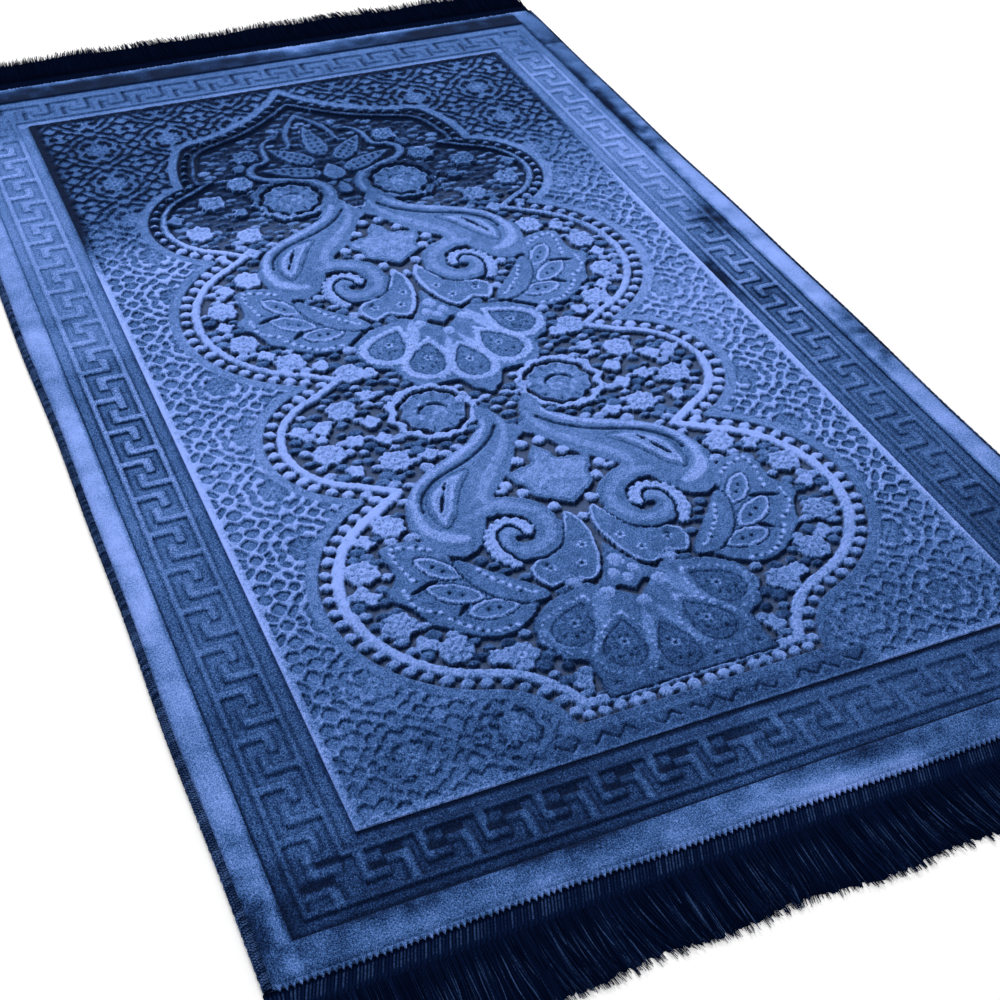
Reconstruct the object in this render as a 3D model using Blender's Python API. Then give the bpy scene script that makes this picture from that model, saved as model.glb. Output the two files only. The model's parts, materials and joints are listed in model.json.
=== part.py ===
"""A prayer rug: carved velvet sheet, overcast side edges and a fringed heading tape at each end.

Units are metres and +Z is up. X runs across the rug and +Y runs along it, towards the point of the arch.
The underside is flat on Z = 0, and the origin is the middle of the footprint with its fringes.
"""

from math import asin, atan2, cos, hypot, pi, radians, sin

import bmesh
import bpy

# The field inside the borders, and the widths of the border's stripes from the field outwards.
FIELD_WIDTH = 0.526
FIELD_LENGTH = 0.977
INNER_GUARD = 0.0110
LINE_WIDTH = 0.0047
MEANDER_WIDTH = 0.0303
OUTER_GUARD = 0.0102
SIDE_MARGIN = 0.0201
NEAR_MARGIN = 0.0250
FAR_MARGIN = 0.0330

# Heights above the floor.
WEAVE_TOP = 0.0022
GUARD_TOP = 0.0042
LINE_TOP = 0.0050
RIBBON_TOP = 0.0048
FIELD_TOP = 0.0058
ROPE_TOP = 0.0049
CUTTER_TOP = 0.0100
CUTTER_REACH = 0.1600
ROOT_DEPTH = 0.0010

# Tops of the raised forms. Those that overlap differ a little, as a carver's cuts do.
TOP_STEP = 0.0001
ARM_TOP = 0.0056
DISC_TOP = 0.0055
FAN_TOP = 0.0055
CURL_TOP = 0.0054
LEAF_TOP = 0.0054
CROWN_TOP = 0.0054
BELL_TOP = 0.0053
FEATHER_TOP = 0.0052
TULIP_TOP = 0.0052
FOOT_TOP = 0.0051
BAND_TOP = 0.0050
TREFOIL_TOP = 0.0050
ROSETTE_TOP = 0.0047

# The Greek key: bars stand on the two light lines in turn, and each ends in a hook.
LONG_PITCH = 0.0450
SHORT_PITCH = 0.0400
BAR_WIDTH = 0.0040
BAR_REACH = 0.0228
BAR_ROOT = 0.0010
HOOK_SHARE = 0.35
INNER_BAR_SHARE = 0.68

# Overcast edges, heading tapes and fringe strands.
CLEARANCE = 0.0003
EDGE_WIDTH = 0.0059
EDGE_HEIGHT = 0.0056
EDGE_SHOULDER = 0.0020
EDGE_PARTS = 5
TAPE_WIDTH = 0.0190
TAPE_THICKNESS = 0.0022
STRAND_LENGTH = 0.0550
STRAND_WIDTH = 0.0040
STRAND_HEIGHT = 0.0019
STRAND_TIP = 0.45
STRAND_ROOT = 0.0025
STRAND_COUNT = 110
STRAND_STEPS = 2

# The cut edges wander by about a millimetre, as cloth from a loom does, and no two strands lie quite
# alike. Each wave is a height, a length and a phase.
SIDE_WAVES = ((0.0009, 0.61, 0.7), (0.0005, 0.23, 2.1))
END_WAVES = ((0.0007, 0.52, 1.3), (0.0004, 0.19, 0.4))
LEAN_WAVES = ((0.0022, 0.17, 0.0), (0.0006, 0.0087, 0.0))
BEND_WAVES = ((0.0016, 0.11, 2.0),)
TIP_WAVES = ((0.0030, 0.0149, 0.0),)
SIDE_SHIFT = 0.11
END_SHIFT = 0.07
SIDE_STEPS = 22
END_STEPS = 12

# The medallion's ribbon, right half, from the base to the point. x and y start at the middle of the
# field's near edge. The bulge of the arc to the next row is its rise over half its chord, and it is
# positive outwards.
RIBBON_ROWS = (
    # x, y, bulge
    (0.1000, 0.0226, -0.33),
    (0.1403, 0.0741, 0.67),
    (0.1534, 0.2932, 0.72),
    (0.1470, 0.4470, 0.62),
    (0.1610, 0.6600, 0.66),
    (0.1530, 0.8030, 0.12),
    (0.1400, 0.8660, 0.35),
    (0.1140, 0.8880, -0.20),
    (0.0000, 0.9690, 0.00),
)
RIBBON_HALF = 0.0047
ROPE_INSET = 0.0155
ROPE_WIDTH = 0.0062
ARC_STEP = 0.021

# Ornament that stands on the flat ground, right half, in the same coordinates. Each form is a band along a
# smooth spine: x, y and half width.
ARM_SPINE = (
    (0.0230, 0.3720, 0.0015),
    (0.0330, 0.3430, 0.0115),
    (0.0470, 0.3150, 0.0175),
    (0.0680, 0.2950, 0.0215),
    (0.0870, 0.2720, 0.0265),
    (0.0975, 0.2410, 0.0315),
)
FEATHER_SPINE = (
    (0.0660, 0.1420, 0.0010),
    (0.0850, 0.1560, 0.0105),
    (0.1030, 0.1800, 0.0100),
    (0.1130, 0.2050, 0.0010),
)
UPPER_LEAF_SPINE = (
    (0.1180, 0.1900, 0.0050),
    (0.1300, 0.2090, 0.0150),
    (0.1480, 0.2270, 0.0120),
    (0.1670, 0.2400, 0.0010),
)
MIDDLE_LEAF_SPINE = (
    (0.1100, 0.1610, 0.0050),
    (0.1290, 0.1740, 0.0145),
    (0.1520, 0.1850, 0.0120),
    (0.1750, 0.1890, 0.0010),
)
LOWER_LEAF_SPINE = (
    (0.0790, 0.1440, 0.0050),
    (0.1030, 0.1400, 0.0165),
    (0.1310, 0.1430, 0.0140),
    (0.1610, 0.1640, 0.0010),
)
BELL_SPINE = (
    (0.0110, 0.2240, 0.0010),
    (0.0160, 0.2000, 0.0080),
    (0.0260, 0.1790, 0.0170),
    (0.0420, 0.1680, 0.0190),
    (0.0560, 0.1680, 0.0130),
)
SHOULDER_SPINE = (
    (0.0570, 0.8750, 0.0020),
    (0.0580, 0.8480, 0.0040),
    (0.0560, 0.8270, 0.0045),
    (0.0720, 0.8200, 0.0045),
    (0.0800, 0.8070, 0.0050),
    (0.0720, 0.7880, 0.0050),
    (0.0480, 0.7740, 0.0050),
    (0.0270, 0.7640, 0.0050),
    (0.0150, 0.7480, 0.0050),
    (0.0190, 0.7280, 0.0060),
)
CROWN_SPINE = (
    (0.0290, 0.8560, 0.0020),
    (0.0250, 0.8780, 0.0042),
    (0.0120, 0.9000, 0.0042),
    (0.0000, 0.9180, 0.0042),
)
SPINE_PARTS = 2
CAP_HALF = 0.0040
CAP_PARTS = 6

# The two forms that stand on the middle line, from their top to their foot: x and y.
TULIP_HALF = (
    (0.0000, 0.3065),
    (0.0130, 0.2930),
    (0.0170, 0.2840),
    (0.0340, 0.2815),
    (0.0300, 0.2620),
    (0.0190, 0.2460),
    (0.0000, 0.2280),
)
TREFOIL_HALF = (
    (0.0000, 0.1820),
    (0.0080, 0.1650),
    (0.0240, 0.1430),
    (0.0130, 0.1330),
    (0.0000, 0.1240),
)

# The curl winds inwards from its start, and its band thins to its end. Angles are in radians.
CURL_CENTRE = (0.0548, 0.2165)
CURL_START = 1.0
CURL_TURN = 6.2
CURL_RADIUS = 0.0375
CURL_END_RADIUS = 0.0083
CURL_HALF = 0.0078
CURL_END_HALF = 0.0035
CURL_STEPS = 12
DISC_CENTRE = (0.0565, 0.3770)
DISC_RADIUS = 0.0270
DISC_SIDES = 12

# The ornament comes twice, and this is the way from the near set to the far one.
SET_PITCH = 0.3660

# Drops of the fans and the crown: x and y of the middle, direction of the tip in degrees, length, width.
# DROP_FULLNESS makes the drop's widest place as wide as the table says.
FAN_DROPS = (
    (0.0620, 0.1180, 128.0, 0.062, 0.046),
    (0.0355, 0.0830, 112.0, 0.068, 0.046),
    (0.0000, 0.0660, 90.0, 0.076, 0.046),
)
CROWN_DROPS = (
    (0.0000, 0.8460, 90.0, 0.076, 0.026),
    (0.0310, 0.8290, 52.0, 0.054, 0.022),
    (0.0420, 0.7970, 36.0, 0.052, 0.020),
    (0.0000, 0.7860, 90.0, 0.022, 0.018),
)
DROP_SIDES = 12
DROP_FULLNESS = 1.3
FOOT_HALF = 0.0660
FOOT_LOW = 0.0400
FOOT_HIGH = 0.0720

# Rosettes between the ornament and the rope, right half.
ROSETTE_RADIUS = 0.0125
ROSETTE_SIDES = 6
ROSETTES = (
    # x, y
    (0.1052, 0.0982),
    (0.1446, 0.1201),
    (0.1731, 0.1573),
    (0.1786, 0.2176),
    (0.1425, 0.2582),
    (0.1096, 0.3287),
    (0.1556, 0.3550),
    (0.1271, 0.4055),
    (0.1030, 0.4525),
    (0.1446, 0.4844),
    (0.1731, 0.5240),
    (0.1760, 0.5780),
    (0.1400, 0.6200),
    (0.1148, 0.6928),
    (0.1578, 0.7119),
    (0.1315, 0.7621),
    (0.0956, 0.7884),
    (0.0741, 0.8386),
)

# A corner of a moved ring that comes nearer to the old one than this share of the move is left out.
KEPT_SHARE = 0.97
ROUND_DEGREES = 50.0

BAND_WIDTH = INNER_GUARD + LINE_WIDTH + MEANDER_WIDTH + LINE_WIDTH + OUTER_GUARD
BODY_WIDTH = FIELD_WIDTH + 2 * (BAND_WIDTH + SIDE_MARGIN)
BODY_LENGTH = FIELD_LENGTH + 2 * BAND_WIDTH + NEAR_MARGIN + FAR_MARGIN
FIELD_NEAR = -BODY_LENGTH / 2 + NEAR_MARGIN + BAND_WIDTH
FIELD_MIDDLE = FIELD_NEAR + FIELD_LENGTH / 2


def clear_scene():
    for obj in list(bpy.data.objects):
        bpy.data.objects.remove(obj, do_unlink=True)


def new_collection(name):
    collection = bpy.data.collections.new(name)
    bpy.context.scene.collection.children.link(collection)
    return collection


def cloth_material(name, colour, roughness):
    material = bpy.data.materials.new(name)
    material.use_nodes = True
    shader = material.node_tree.nodes["Principled BSDF"]
    shader.inputs["Base Color"].default_value = (*colour, 1.0)
    shader.inputs["Roughness"].default_value = roughness
    shader.inputs["Metallic"].default_value = 0.0
    return material


def mesh_from_curve(curve_object, collection):
    """The curve's evaluated mesh as a new object, with its loose caps welded."""
    bpy.context.view_layer.update()
    graph = bpy.context.evaluated_depsgraph_get()
    mesh = bpy.data.meshes.new_from_object(curve_object.evaluated_get(graph))
    welding = bmesh.new()
    welding.from_mesh(mesh)
    bmesh.ops.remove_doubles(welding, verts=welding.verts, dist=1e-6)
    bmesh.ops.recalc_face_normals(welding, faces=welding.faces)
    welding.to_mesh(mesh)
    welding.free()
    name = curve_object.name
    place = curve_object.matrix_world.copy()
    bpy.data.objects.remove(curve_object, do_unlink=True)
    solid = bpy.data.objects.new(name, mesh)
    solid.matrix_world = place
    collection.objects.link(solid)
    return solid


def plate(name, rings, bottom, top, collection):
    """A flat outline of one or more closed rings, filled and extruded from bottom to top."""
    curve = bpy.data.curves.new(name, "CURVE")
    curve.dimensions = "2D"
    curve.fill_mode = "BOTH"
    curve.extrude = (top - bottom) / 2
    for ring in rings:
        spline = curve.splines.new("POLY")
        spline.points.add(len(ring) - 1)
        for point, (x, y) in zip(spline.points, ring):
            point.co = (x, y, 0, 1)
        spline.use_cyclic_u = True
    outline = bpy.data.objects.new(name, curve)
    outline.location.z = (top + bottom) / 2
    collection.objects.link(outline)
    return mesh_from_curve(outline, collection)


def as_helper(obj):
    """Marks a cutter or a raised form that only takes part in a Boolean."""
    obj.hide_render = True
    obj.display_type = "WIRE"
    return obj


def boolean(target, name, operation, collection):
    """Joins or cuts the target with every object in the collection."""
    modifier = target.modifiers.new(name, "BOOLEAN")
    modifier.operation = operation
    modifier.operand_type = "COLLECTION"
    modifier.collection = collection
    modifier.solver = "EXACT"


def wander(distance, waves):
    """The sum of the waves at a distance along an edge."""
    return sum(height * sin(2 * pi * distance / length + phase) for height, length, phase in waves)


def edge_x(side, y):
    """The cut edge of the velvet at y: side is -1 on the left and 1 on the right."""
    return side * (BODY_WIDTH / 2 + wander(y + SIDE_SHIFT * side, SIDE_WAVES))


def edge_y(end, x):
    """The cut edge of the velvet at x: end is -1 at the near end and 1 at the far one."""
    return end * (BODY_LENGTH / 2 + wander(x + END_SHIFT * end, END_WAVES))


def stations(half, steps):
    """Evenly spaced places from minus half to half."""
    return [half * (2 * step / steps - 1) for step in range(steps + 1)]


def end_points(end):
    """The velvet's cut end, from left to right."""
    return [(x, edge_y(end, x)) for x in stations(BODY_WIDTH / 2, END_STEPS)]


def side_points(side):
    """The velvet's cut side, from near to far, with both corners."""
    corner_x = side * BODY_WIDTH / 2
    between = [(edge_x(side, y), y) for y in stations(BODY_LENGTH / 2, SIDE_STEPS)[1:-1]]
    return [(corner_x, edge_y(-1, corner_x)), *between, (corner_x, edge_y(1, corner_x))]


def body_outline():
    """The cut outline of the velvet, anticlockwise."""
    return end_points(-1) + side_points(1)[1:-1] + end_points(1)[::-1] + side_points(-1)[-2:0:-1]


def rectangle(grow):
    """The field's rectangle, grown on every side."""
    half_x = FIELD_WIDTH / 2 + grow
    low = FIELD_NEAR - grow
    high = FIELD_NEAR + FIELD_LENGTH + grow
    return [(-half_x, low), (half_x, low), (half_x, high), (-half_x, high)]


def arc_points(start, end, bulge):
    """Points from start up to, and not with, the end, on an arc that bulges to the right of the way."""
    chord = hypot(end[0] - start[0], end[1] - start[1])
    if bulge == 0:
        return [start]
    radius = chord * (1 + bulge * bulge) / (4 * abs(bulge))
    half_angle = asin(min(1.0, chord / (2 * radius)))
    count = max(2, round(2 * half_angle * radius / ARC_STEP))
    middle = ((start[0] + end[0]) / 2, (start[1] + end[1]) / 2)
    right = ((end[1] - start[1]) / chord, (start[0] - end[0]) / chord)
    side = 1 if bulge > 0 else -1
    back = radius * cos(half_angle)
    centre = (middle[0] - side * back * right[0], middle[1] - side * back * right[1])
    first = atan2(start[1] - centre[1], start[0] - centre[0])
    turn = 2 * half_angle * side
    angles = [first + turn * index / count for index in range(count)]
    return [(centre[0] + radius * cos(angle), centre[1] + radius * sin(angle)) for angle in angles]


def clear_of(ring, point):
    """The distance from a point to the nearest side of a ring."""
    distances = []
    for start, end in zip(ring, ring[1:] + ring[:1]):
        run_x = end[0] - start[0]
        run_y = end[1] - start[1]
        from_x = point[0] - start[0]
        from_y = point[1] - start[1]
        share = (from_x * run_x + from_y * run_y) / (run_x**2 + run_y**2)
        share = min(1.0, max(0.0, share))
        distances.append(hypot(from_x - share * run_x, from_y - share * run_y))
    return min(distances)


def offset_ring(ring, distance):
    """A ring moved outwards by a distance, with mitred corners. The ring runs anticlockwise."""
    moved = []
    for index, point in enumerate(ring):
        before = ring[index - 1]
        after = ring[(index + 1) % len(ring)]
        first = hypot(point[0] - before[0], point[1] - before[1])
        second = hypot(after[0] - point[0], after[1] - point[1])
        out_x = (point[1] - before[1]) / first + (after[1] - point[1]) / second
        out_y = (before[0] - point[0]) / first + (point[0] - after[0]) / second
        scale = 2 * distance / (out_x**2 + out_y**2)
        moved.append((point[0] + scale * out_x, point[1] + scale * out_y))
    return [point for point in moved if clear_of(ring, point) > KEPT_SHARE * abs(distance)]


def on_field(x, y):
    """A place measured from the middle of the field's near edge, in the rug's own coordinates."""
    return (x, FIELD_NEAR + y)


def medallion_ring(grow):
    """The ribbon's centre line, both halves, moved outwards by a distance and closed along the base."""
    right = []
    for (x, y, bulge), (next_x, next_y, _) in zip(RIBBON_ROWS, RIBBON_ROWS[1:]):
        right += arc_points((x, y), (next_x, next_y), bulge)
    point = RIBBON_ROWS[-1][:2]
    left = [(-x, y) for x, y in reversed(right)]
    ring = right + [point] + left
    return [on_field(x, y) for x, y in offset_ring(ring, grow)]


def between(before, start, end, after, share):
    """The value at a share of the way from start to end, on a Catmull-Rom spline through all four."""
    linear = end - before
    square = 2 * before - 5 * start + 4 * end - after
    cube = 3 * start - before - 3 * end + after
    return start + (linear * share + square * share**2 + cube * share**3) / 2


def smooth_rows(rows):
    """The rows with more between them, on a smooth spline through the given ones."""
    padded = [rows[0], *rows, rows[-1]]
    found = []
    for index in range(len(rows) - 1):
        four = padded[index : index + 4]
        for part in range(SPINE_PARTS):
            found.append([between(*values, part / SPINE_PARTS) for values in zip(*four)])
    return found + [rows[-1]]


def band_ring(rows):
    """The outline of a band along rows of x, y and half width. A wide last row gets a round end."""
    left = []
    right = []
    for index, (x, y, half) in enumerate(rows):
        before = rows[max(index - 1, 0)]
        after = rows[min(index + 1, len(rows) - 1)]
        run = hypot(after[0] - before[0], after[1] - before[1])
        across = ((before[1] - after[1]) / run, (after[0] - before[0]) / run)
        left.append((x + half * across[0], y + half * across[1]))
        right.append((x - half * across[0], y - half * across[1]))
    x, y, half = rows[-1]
    first = atan2(right[-1][1] - y, right[-1][0] - x)
    turns = [first + pi * part / CAP_PARTS for part in range(1, CAP_PARTS)]
    cap = [(x + half * cos(turn), y + half * sin(turn)) for turn in turns] if half > CAP_HALF else []
    return right + cap + left[::-1]


def drop_ring(x, y, degrees, length, width):
    """A drop with one round end and one pointed tip."""
    angle = radians(degrees)
    ring = []
    for index in range(DROP_SIDES):
        turn = 2 * pi * index / DROP_SIDES
        along = length / 2 * cos(turn)
        aside = width / 2 * DROP_FULLNESS * sin(turn) * sin(turn / 2)
        ring_x = x + along * cos(angle) - aside * sin(angle)
        ring_y = y + along * sin(angle) + aside * cos(angle)
        ring.append((ring_x, ring_y))
    return ring


def round_ring(x, y, radius, sides):
    turns = [2 * pi * index / sides for index in range(sides)]
    return [(x + radius * cos(turn), y + radius * sin(turn)) for turn in turns]


def curl_rows():
    rows = []
    for index in range(CURL_STEPS + 1):
        share = index / CURL_STEPS
        angle = CURL_START + CURL_TURN * share
        radius = CURL_RADIUS + (CURL_END_RADIUS - CURL_RADIUS) * share
        half = CURL_HALF + (CURL_END_HALF - CURL_HALF) * share
        rows.append((CURL_CENTRE[0] + radius * cos(angle), CURL_CENTRE[1] + radius * sin(angle), half))
    return rows


def mirrored(ring):
    """The ring on the other side of the middle line, with its turning sense kept."""
    return [(-x, y) for x, y in reversed(ring)]


def whole_from_half(half):
    """A closed ring from its right half, which runs from the top of the middle line to its foot."""
    left = [(-x, y) for x, y in half if x > 0]
    return [*half, *left[::-1]]


def raise_form(name, ring, top, collection, shift=0.0):
    """A form and its mirror image, or one alone where its ring crosses the middle line."""
    alone = min(x for x, _ in ring) < 0
    rings = [ring] if alone else [ring, mirrored(ring)]
    for side, outline in zip(("right", "left"), rings):
        placed = [on_field(x, y + shift) for x, y in outline]
        as_helper(plate(f"{name}_{side}", [placed], WEAVE_TOP - ROOT_DEPTH, top, collection))


def raise_set(number, shift, collection):
    """One set of arms, curls, wings and fans."""
    spines = (
        ("arm", ARM_SPINE, ARM_TOP),
        ("feather", FEATHER_SPINE, FEATHER_TOP),
        ("bell", BELL_SPINE, BELL_TOP),
        ("upper_leaf", UPPER_LEAF_SPINE, LEAF_TOP),
        ("middle_leaf", MIDDLE_LEAF_SPINE, LEAF_TOP - TOP_STEP),
        ("lower_leaf", LOWER_LEAF_SPINE, LEAF_TOP - 2 * TOP_STEP),
    )
    forms = [(name, band_ring(smooth_rows(spine)), top) for name, spine, top in spines]
    forms.append(("curl", band_ring(curl_rows()), CURL_TOP))
    forms.append(("disc", round_ring(*DISC_CENTRE, DISC_RADIUS, DISC_SIDES), DISC_TOP))
    forms.append(("tulip", whole_from_half(TULIP_HALF), TULIP_TOP))
    forms.append(("trefoil", whole_from_half(TREFOIL_HALF), TREFOIL_TOP))
    for row, drop in enumerate(FAN_DROPS):
        forms.append((f"fan_{row}", drop_ring(*drop), FAN_TOP - row * TOP_STEP))
    for name, ring, top in forms:
        raise_form(f"{name}_{number}", ring, top, collection, shift)


def raise_ornament(collection):
    """The two sets, the foot under them, the crown over them and the rosettes round them."""
    raise_set(0, 0.0, collection)
    raise_set(1, SET_PITCH, collection)
    foot = ((-1, FOOT_LOW), (1, FOOT_LOW), (1, FOOT_HIGH), (-1, FOOT_HIGH))
    raise_form("foot", [(side * FOOT_HALF, y) for side, y in foot], FOOT_TOP, collection)
    raise_form("shoulder", band_ring(smooth_rows(SHOULDER_SPINE)), BAND_TOP, collection)
    raise_form("crown_arch", band_ring(smooth_rows(CROWN_SPINE)), BAND_TOP, collection)
    for row, drop in enumerate(CROWN_DROPS):
        raise_form(f"crown_{row}", drop_ring(*drop), CROWN_TOP - row * TOP_STEP, collection)
    for row, (x, y) in enumerate(ROSETTES):
        ring = round_ring(x, y, ROSETTE_RADIUS, ROSETTE_SIDES)
        raise_form(f"rosette_{row}", ring, ROSETTE_TOP, collection)


def key_bar(place, hooks, pitch, inner):
    """The outline of one bar with its hooks: how far along the side, and how far in from the outer line.

    Hooks holds -1, 1 or both, for the ways that the bar's end turns. An inner bar stands on the inner line.
    """
    thick = BAR_WIDTH / 2
    reach = HOOK_SHARE * pitch
    hook = BAR_REACH - BAR_WIDTH
    left = [(-reach, BAR_REACH), (-reach, hook), (-thick, hook)] if -1 in hooks else [(-thick, BAR_REACH)]
    right = [(thick, hook), (reach, hook), (reach, BAR_REACH)] if 1 in hooks else [(thick, BAR_REACH)]
    ring = [*left, (-thick, -BAR_ROOT), (thick, -BAR_ROOT), *right]
    return [(place + along, MEANDER_WIDTH - depth if inner else depth) for along, depth in ring]


def side_bars(half_length, pitch):
    """All bars of one side. Outer bars hook away from the side's middle, and inner ones towards it."""
    rings = [key_bar(0.0, (-1, 1), pitch, False)]
    count = int((half_length - HOOK_SHARE * pitch) / pitch)
    for index in range(count + 1):
        inner_place = (index + INNER_BAR_SHARE) * pitch
        outer_place = (index + 1) * pitch
        for side in (-1, 1):
            if inner_place < half_length:
                rings.append(key_bar(side * inner_place, (-side,), pitch, True))
            if index < count:
                rings.append(key_bar(side * outer_place, (side,), pitch, False))
    return rings


def raise_border(collection):
    """The two light lines of the border and the Greek key between them."""
    inner_line = INNER_GUARD
    outer_line = INNER_GUARD + LINE_WIDTH + MEANDER_WIDTH
    root = GUARD_TOP - ROOT_DEPTH
    for name, start in (("inner_line", inner_line), ("outer_line", outer_line)):
        rings = [rectangle(start + LINE_WIDTH), rectangle(start)]
        as_helper(plate(name, rings, root, LINE_TOP, collection))
    half_x = FIELD_WIDTH / 2 + outer_line
    half_y = FIELD_LENGTH / 2 + outer_line
    rings = []
    for ring in side_bars(half_y - MEANDER_WIDTH, LONG_PITCH):
        rings.append([(half_x - depth, FIELD_MIDDLE + along) for along, depth in ring])
        rings.append([(depth - half_x, FIELD_MIDDLE + along) for along, depth in ring])
    for ring in side_bars(half_x - MEANDER_WIDTH, SHORT_PITCH):
        rings.append([(along, FIELD_MIDDLE + half_y - depth) for along, depth in ring])
        rings.append([(along, FIELD_MIDDLE - half_y + depth) for along, depth in ring])
    as_helper(plate("greek_key", rings, root, LINE_TOP - TOP_STEP, collection))


def carve(collection):
    """What is cut down from the field's height: margins, border, ribbon and the ground of the medallion."""
    cuts = (
        ("margin_cut", [rectangle(CUTTER_REACH), rectangle(0.0)], LINE_TOP),
        ("border_cut", [rectangle(BAND_WIDTH), rectangle(0.0)], GUARD_TOP),
        ("ribbon_cut", [medallion_ring(RIBBON_HALF)], RIBBON_TOP),
        ("ground_cut", [medallion_ring(-RIBBON_HALF)], WEAVE_TOP),
    )
    for name, rings, floor in cuts:
        as_helper(plate(name, rings, floor, CUTTER_TOP, collection))


def raise_rope(collection):
    """The cord that runs round inside the ribbon."""
    rings = [medallion_ring(-ROPE_INSET), medallion_ring(-ROPE_INSET - ROPE_WIDTH)]
    as_helper(plate("rope", rings, WEAVE_TOP - ROOT_DEPTH, ROPE_TOP, collection))


def build_velvet(parts, cutters):
    """The sheet: cut down from the field's height where the pile is short, then raised at the forms."""
    sheet = plate("velvet_sheet", [body_outline()], 0.0, FIELD_TOP, parts)
    cuts = bpy.data.collections.new("carving")
    cutters.children.link(cuts)
    raised = bpy.data.collections.new("raised_forms")
    cutters.children.link(raised)
    carve(cuts)
    raise_border(raised)
    raise_rope(raised)
    raise_ornament(raised)
    boolean(sheet, "carve", "DIFFERENCE", cuts)
    boolean(sheet, "raise", "UNION", raised)
    sheet.data.materials.append(cloth_material("velvet_pile", (0.055, 0.13, 0.38), 0.85))


def profile_curve(name, points, collection):
    """A closed section that bands are swept with: x across, y up, origin on the floor."""
    curve = bpy.data.curves.new(name, "CURVE")
    curve.dimensions = "2D"
    spline = curve.splines.new("POLY")
    spline.points.add(len(points) - 1)
    for point, (x, y) in zip(spline.points, points):
        point.co = (x, y, 0, 1)
    spline.use_cyclic_u = True
    section = bpy.data.objects.new(name, curve)
    collection.objects.link(section)
    return as_helper(section)


def swept(name, splines, section, collection):
    """Bands along level paths on the floor: each path is a list of x, y and scale."""
    curve = bpy.data.curves.new(name, "CURVE")
    curve.dimensions = "3D"
    curve.twist_mode = "Z_UP"
    curve.bevel_mode = "OBJECT"
    curve.bevel_object = section
    curve.use_fill_caps = True
    for rows in splines:
        spline = curve.splines.new("POLY")
        spline.points.add(len(rows) - 1)
        for point, (x, y, scale) in zip(spline.points, rows):
            point.co = (x, y, 0, 1)
            point.radius = scale
    path = bpy.data.objects.new(name, curve)
    collection.objects.link(path)
    return mesh_from_curve(path, collection)


def shade_round(obj):
    """Smooth shading, with the edges kept sharp where two faces turn by more than ROUND_DEGREES."""
    obj.data.shade_smooth()
    obj.data.set_sharp_from_angle(angle=radians(ROUND_DEGREES))
    return obj


def build_overcast(side, parts, cutters):
    """Thread wrapped round one cut side: a low band with a rounded top."""
    name = "left_overcast" if side < 0 else "right_overcast"
    half = EDGE_WIDTH / 2
    rise = EDGE_HEIGHT - EDGE_SHOULDER
    turns = [pi * part / EDGE_PARTS for part in range(EDGE_PARTS + 1)]
    top = [(half * cos(turn), EDGE_SHOULDER + rise * sin(turn)) for turn in turns]
    section = profile_curve(f"{name}_section", [(-half, 0), (half, 0), *top], cutters)
    away = side * (CLEARANCE + half)
    rows = [(x + away, y, 1.0) for x, y in side_points(side)]
    edge = shade_round(swept(name, [rows], section, parts))
    edge.data.materials.append(cloth_material(f"{name}_thread", (0.012, 0.022, 0.075), 0.7))


def strand_paths(end):
    """Strands from inside the tape to their tips, leaning and bending a little with their neighbours."""
    outer_half = BODY_WIDTH / 2 + CLEARANCE + EDGE_WIDTH - STRAND_WIDTH
    root = BODY_LENGTH / 2 + CLEARANCE + TAPE_WIDTH - STRAND_ROOT
    paths = []
    for x in stations(outer_half, STRAND_COUNT - 1):
        lean = wander(x + END_SHIFT * end, LEAN_WAVES)
        bend = wander(x + END_SHIFT * end, BEND_WAVES)
        length = STRAND_ROOT + STRAND_LENGTH - TIP_WAVES[0][0] + wander(x + END_SHIFT * end, TIP_WAVES)
        rows = []
        for step in range(STRAND_STEPS + 1):
            share = step / STRAND_STEPS
            aside = lean * share + bend * sin(pi * share)
            scale = 1.0 - (1.0 - STRAND_TIP) * share**2
            rows.append((x + aside, end * (root + length * share), scale))
        paths.append(rows)
    return paths


def build_fringe(end, parts, cutters):
    """A heading tape along one cut end, with its strands joined on by their roots."""
    name = "near_fringe" if end < 0 else "far_fringe"
    half_width = BODY_WIDTH / 2 + CLEARANCE + EDGE_WIDTH
    edge = end_points(end)
    edge = [(-half_width, edge[0][1]), *edge, (half_width, edge[-1][1])]
    inner = [(x, y + end * CLEARANCE) for x, y in edge]
    outer_y = end * (BODY_LENGTH / 2 + CLEARANCE + TAPE_WIDTH)
    outline = inner + [(half_width, outer_y), (-half_width, outer_y)]
    tape = plate(name, [outline], 0.0, TAPE_THICKNESS, parts)
    half = STRAND_WIDTH / 2
    section = profile_curve(f"{name}_section", [(-half, 0), (half, 0), (0, STRAND_HEIGHT)], cutters)
    strands = bpy.data.collections.new(f"{name}_strands")
    cutters.children.link(strands)
    as_helper(shade_round(swept(f"{name}_yarns", strand_paths(end), section, strands)))
    boolean(tape, "strands", "UNION", strands)
    tape.data.materials.append(cloth_material(f"{name}_yarn", (0.008, 0.014, 0.048), 0.65))


def main():
    clear_scene()
    parts = new_collection("prayer_rug")
    cutters = new_collection("prayer_rug_cutters")
    build_velvet(parts, cutters)
    for side in (-1, 1):
        build_overcast(side, parts, cutters)
    for end in (-1, 1):
        build_fringe(end, parts, cutters)


main()
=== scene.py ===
"""Looks of a carved velvet prayer rug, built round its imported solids.

The plan, the heights and the carving are in millimetres. Meshes, settings, materials and the stage are in
metres.
"""

import json
import math

import bpy
import numpy as np
from mathutils import Matrix, Vector

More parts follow.
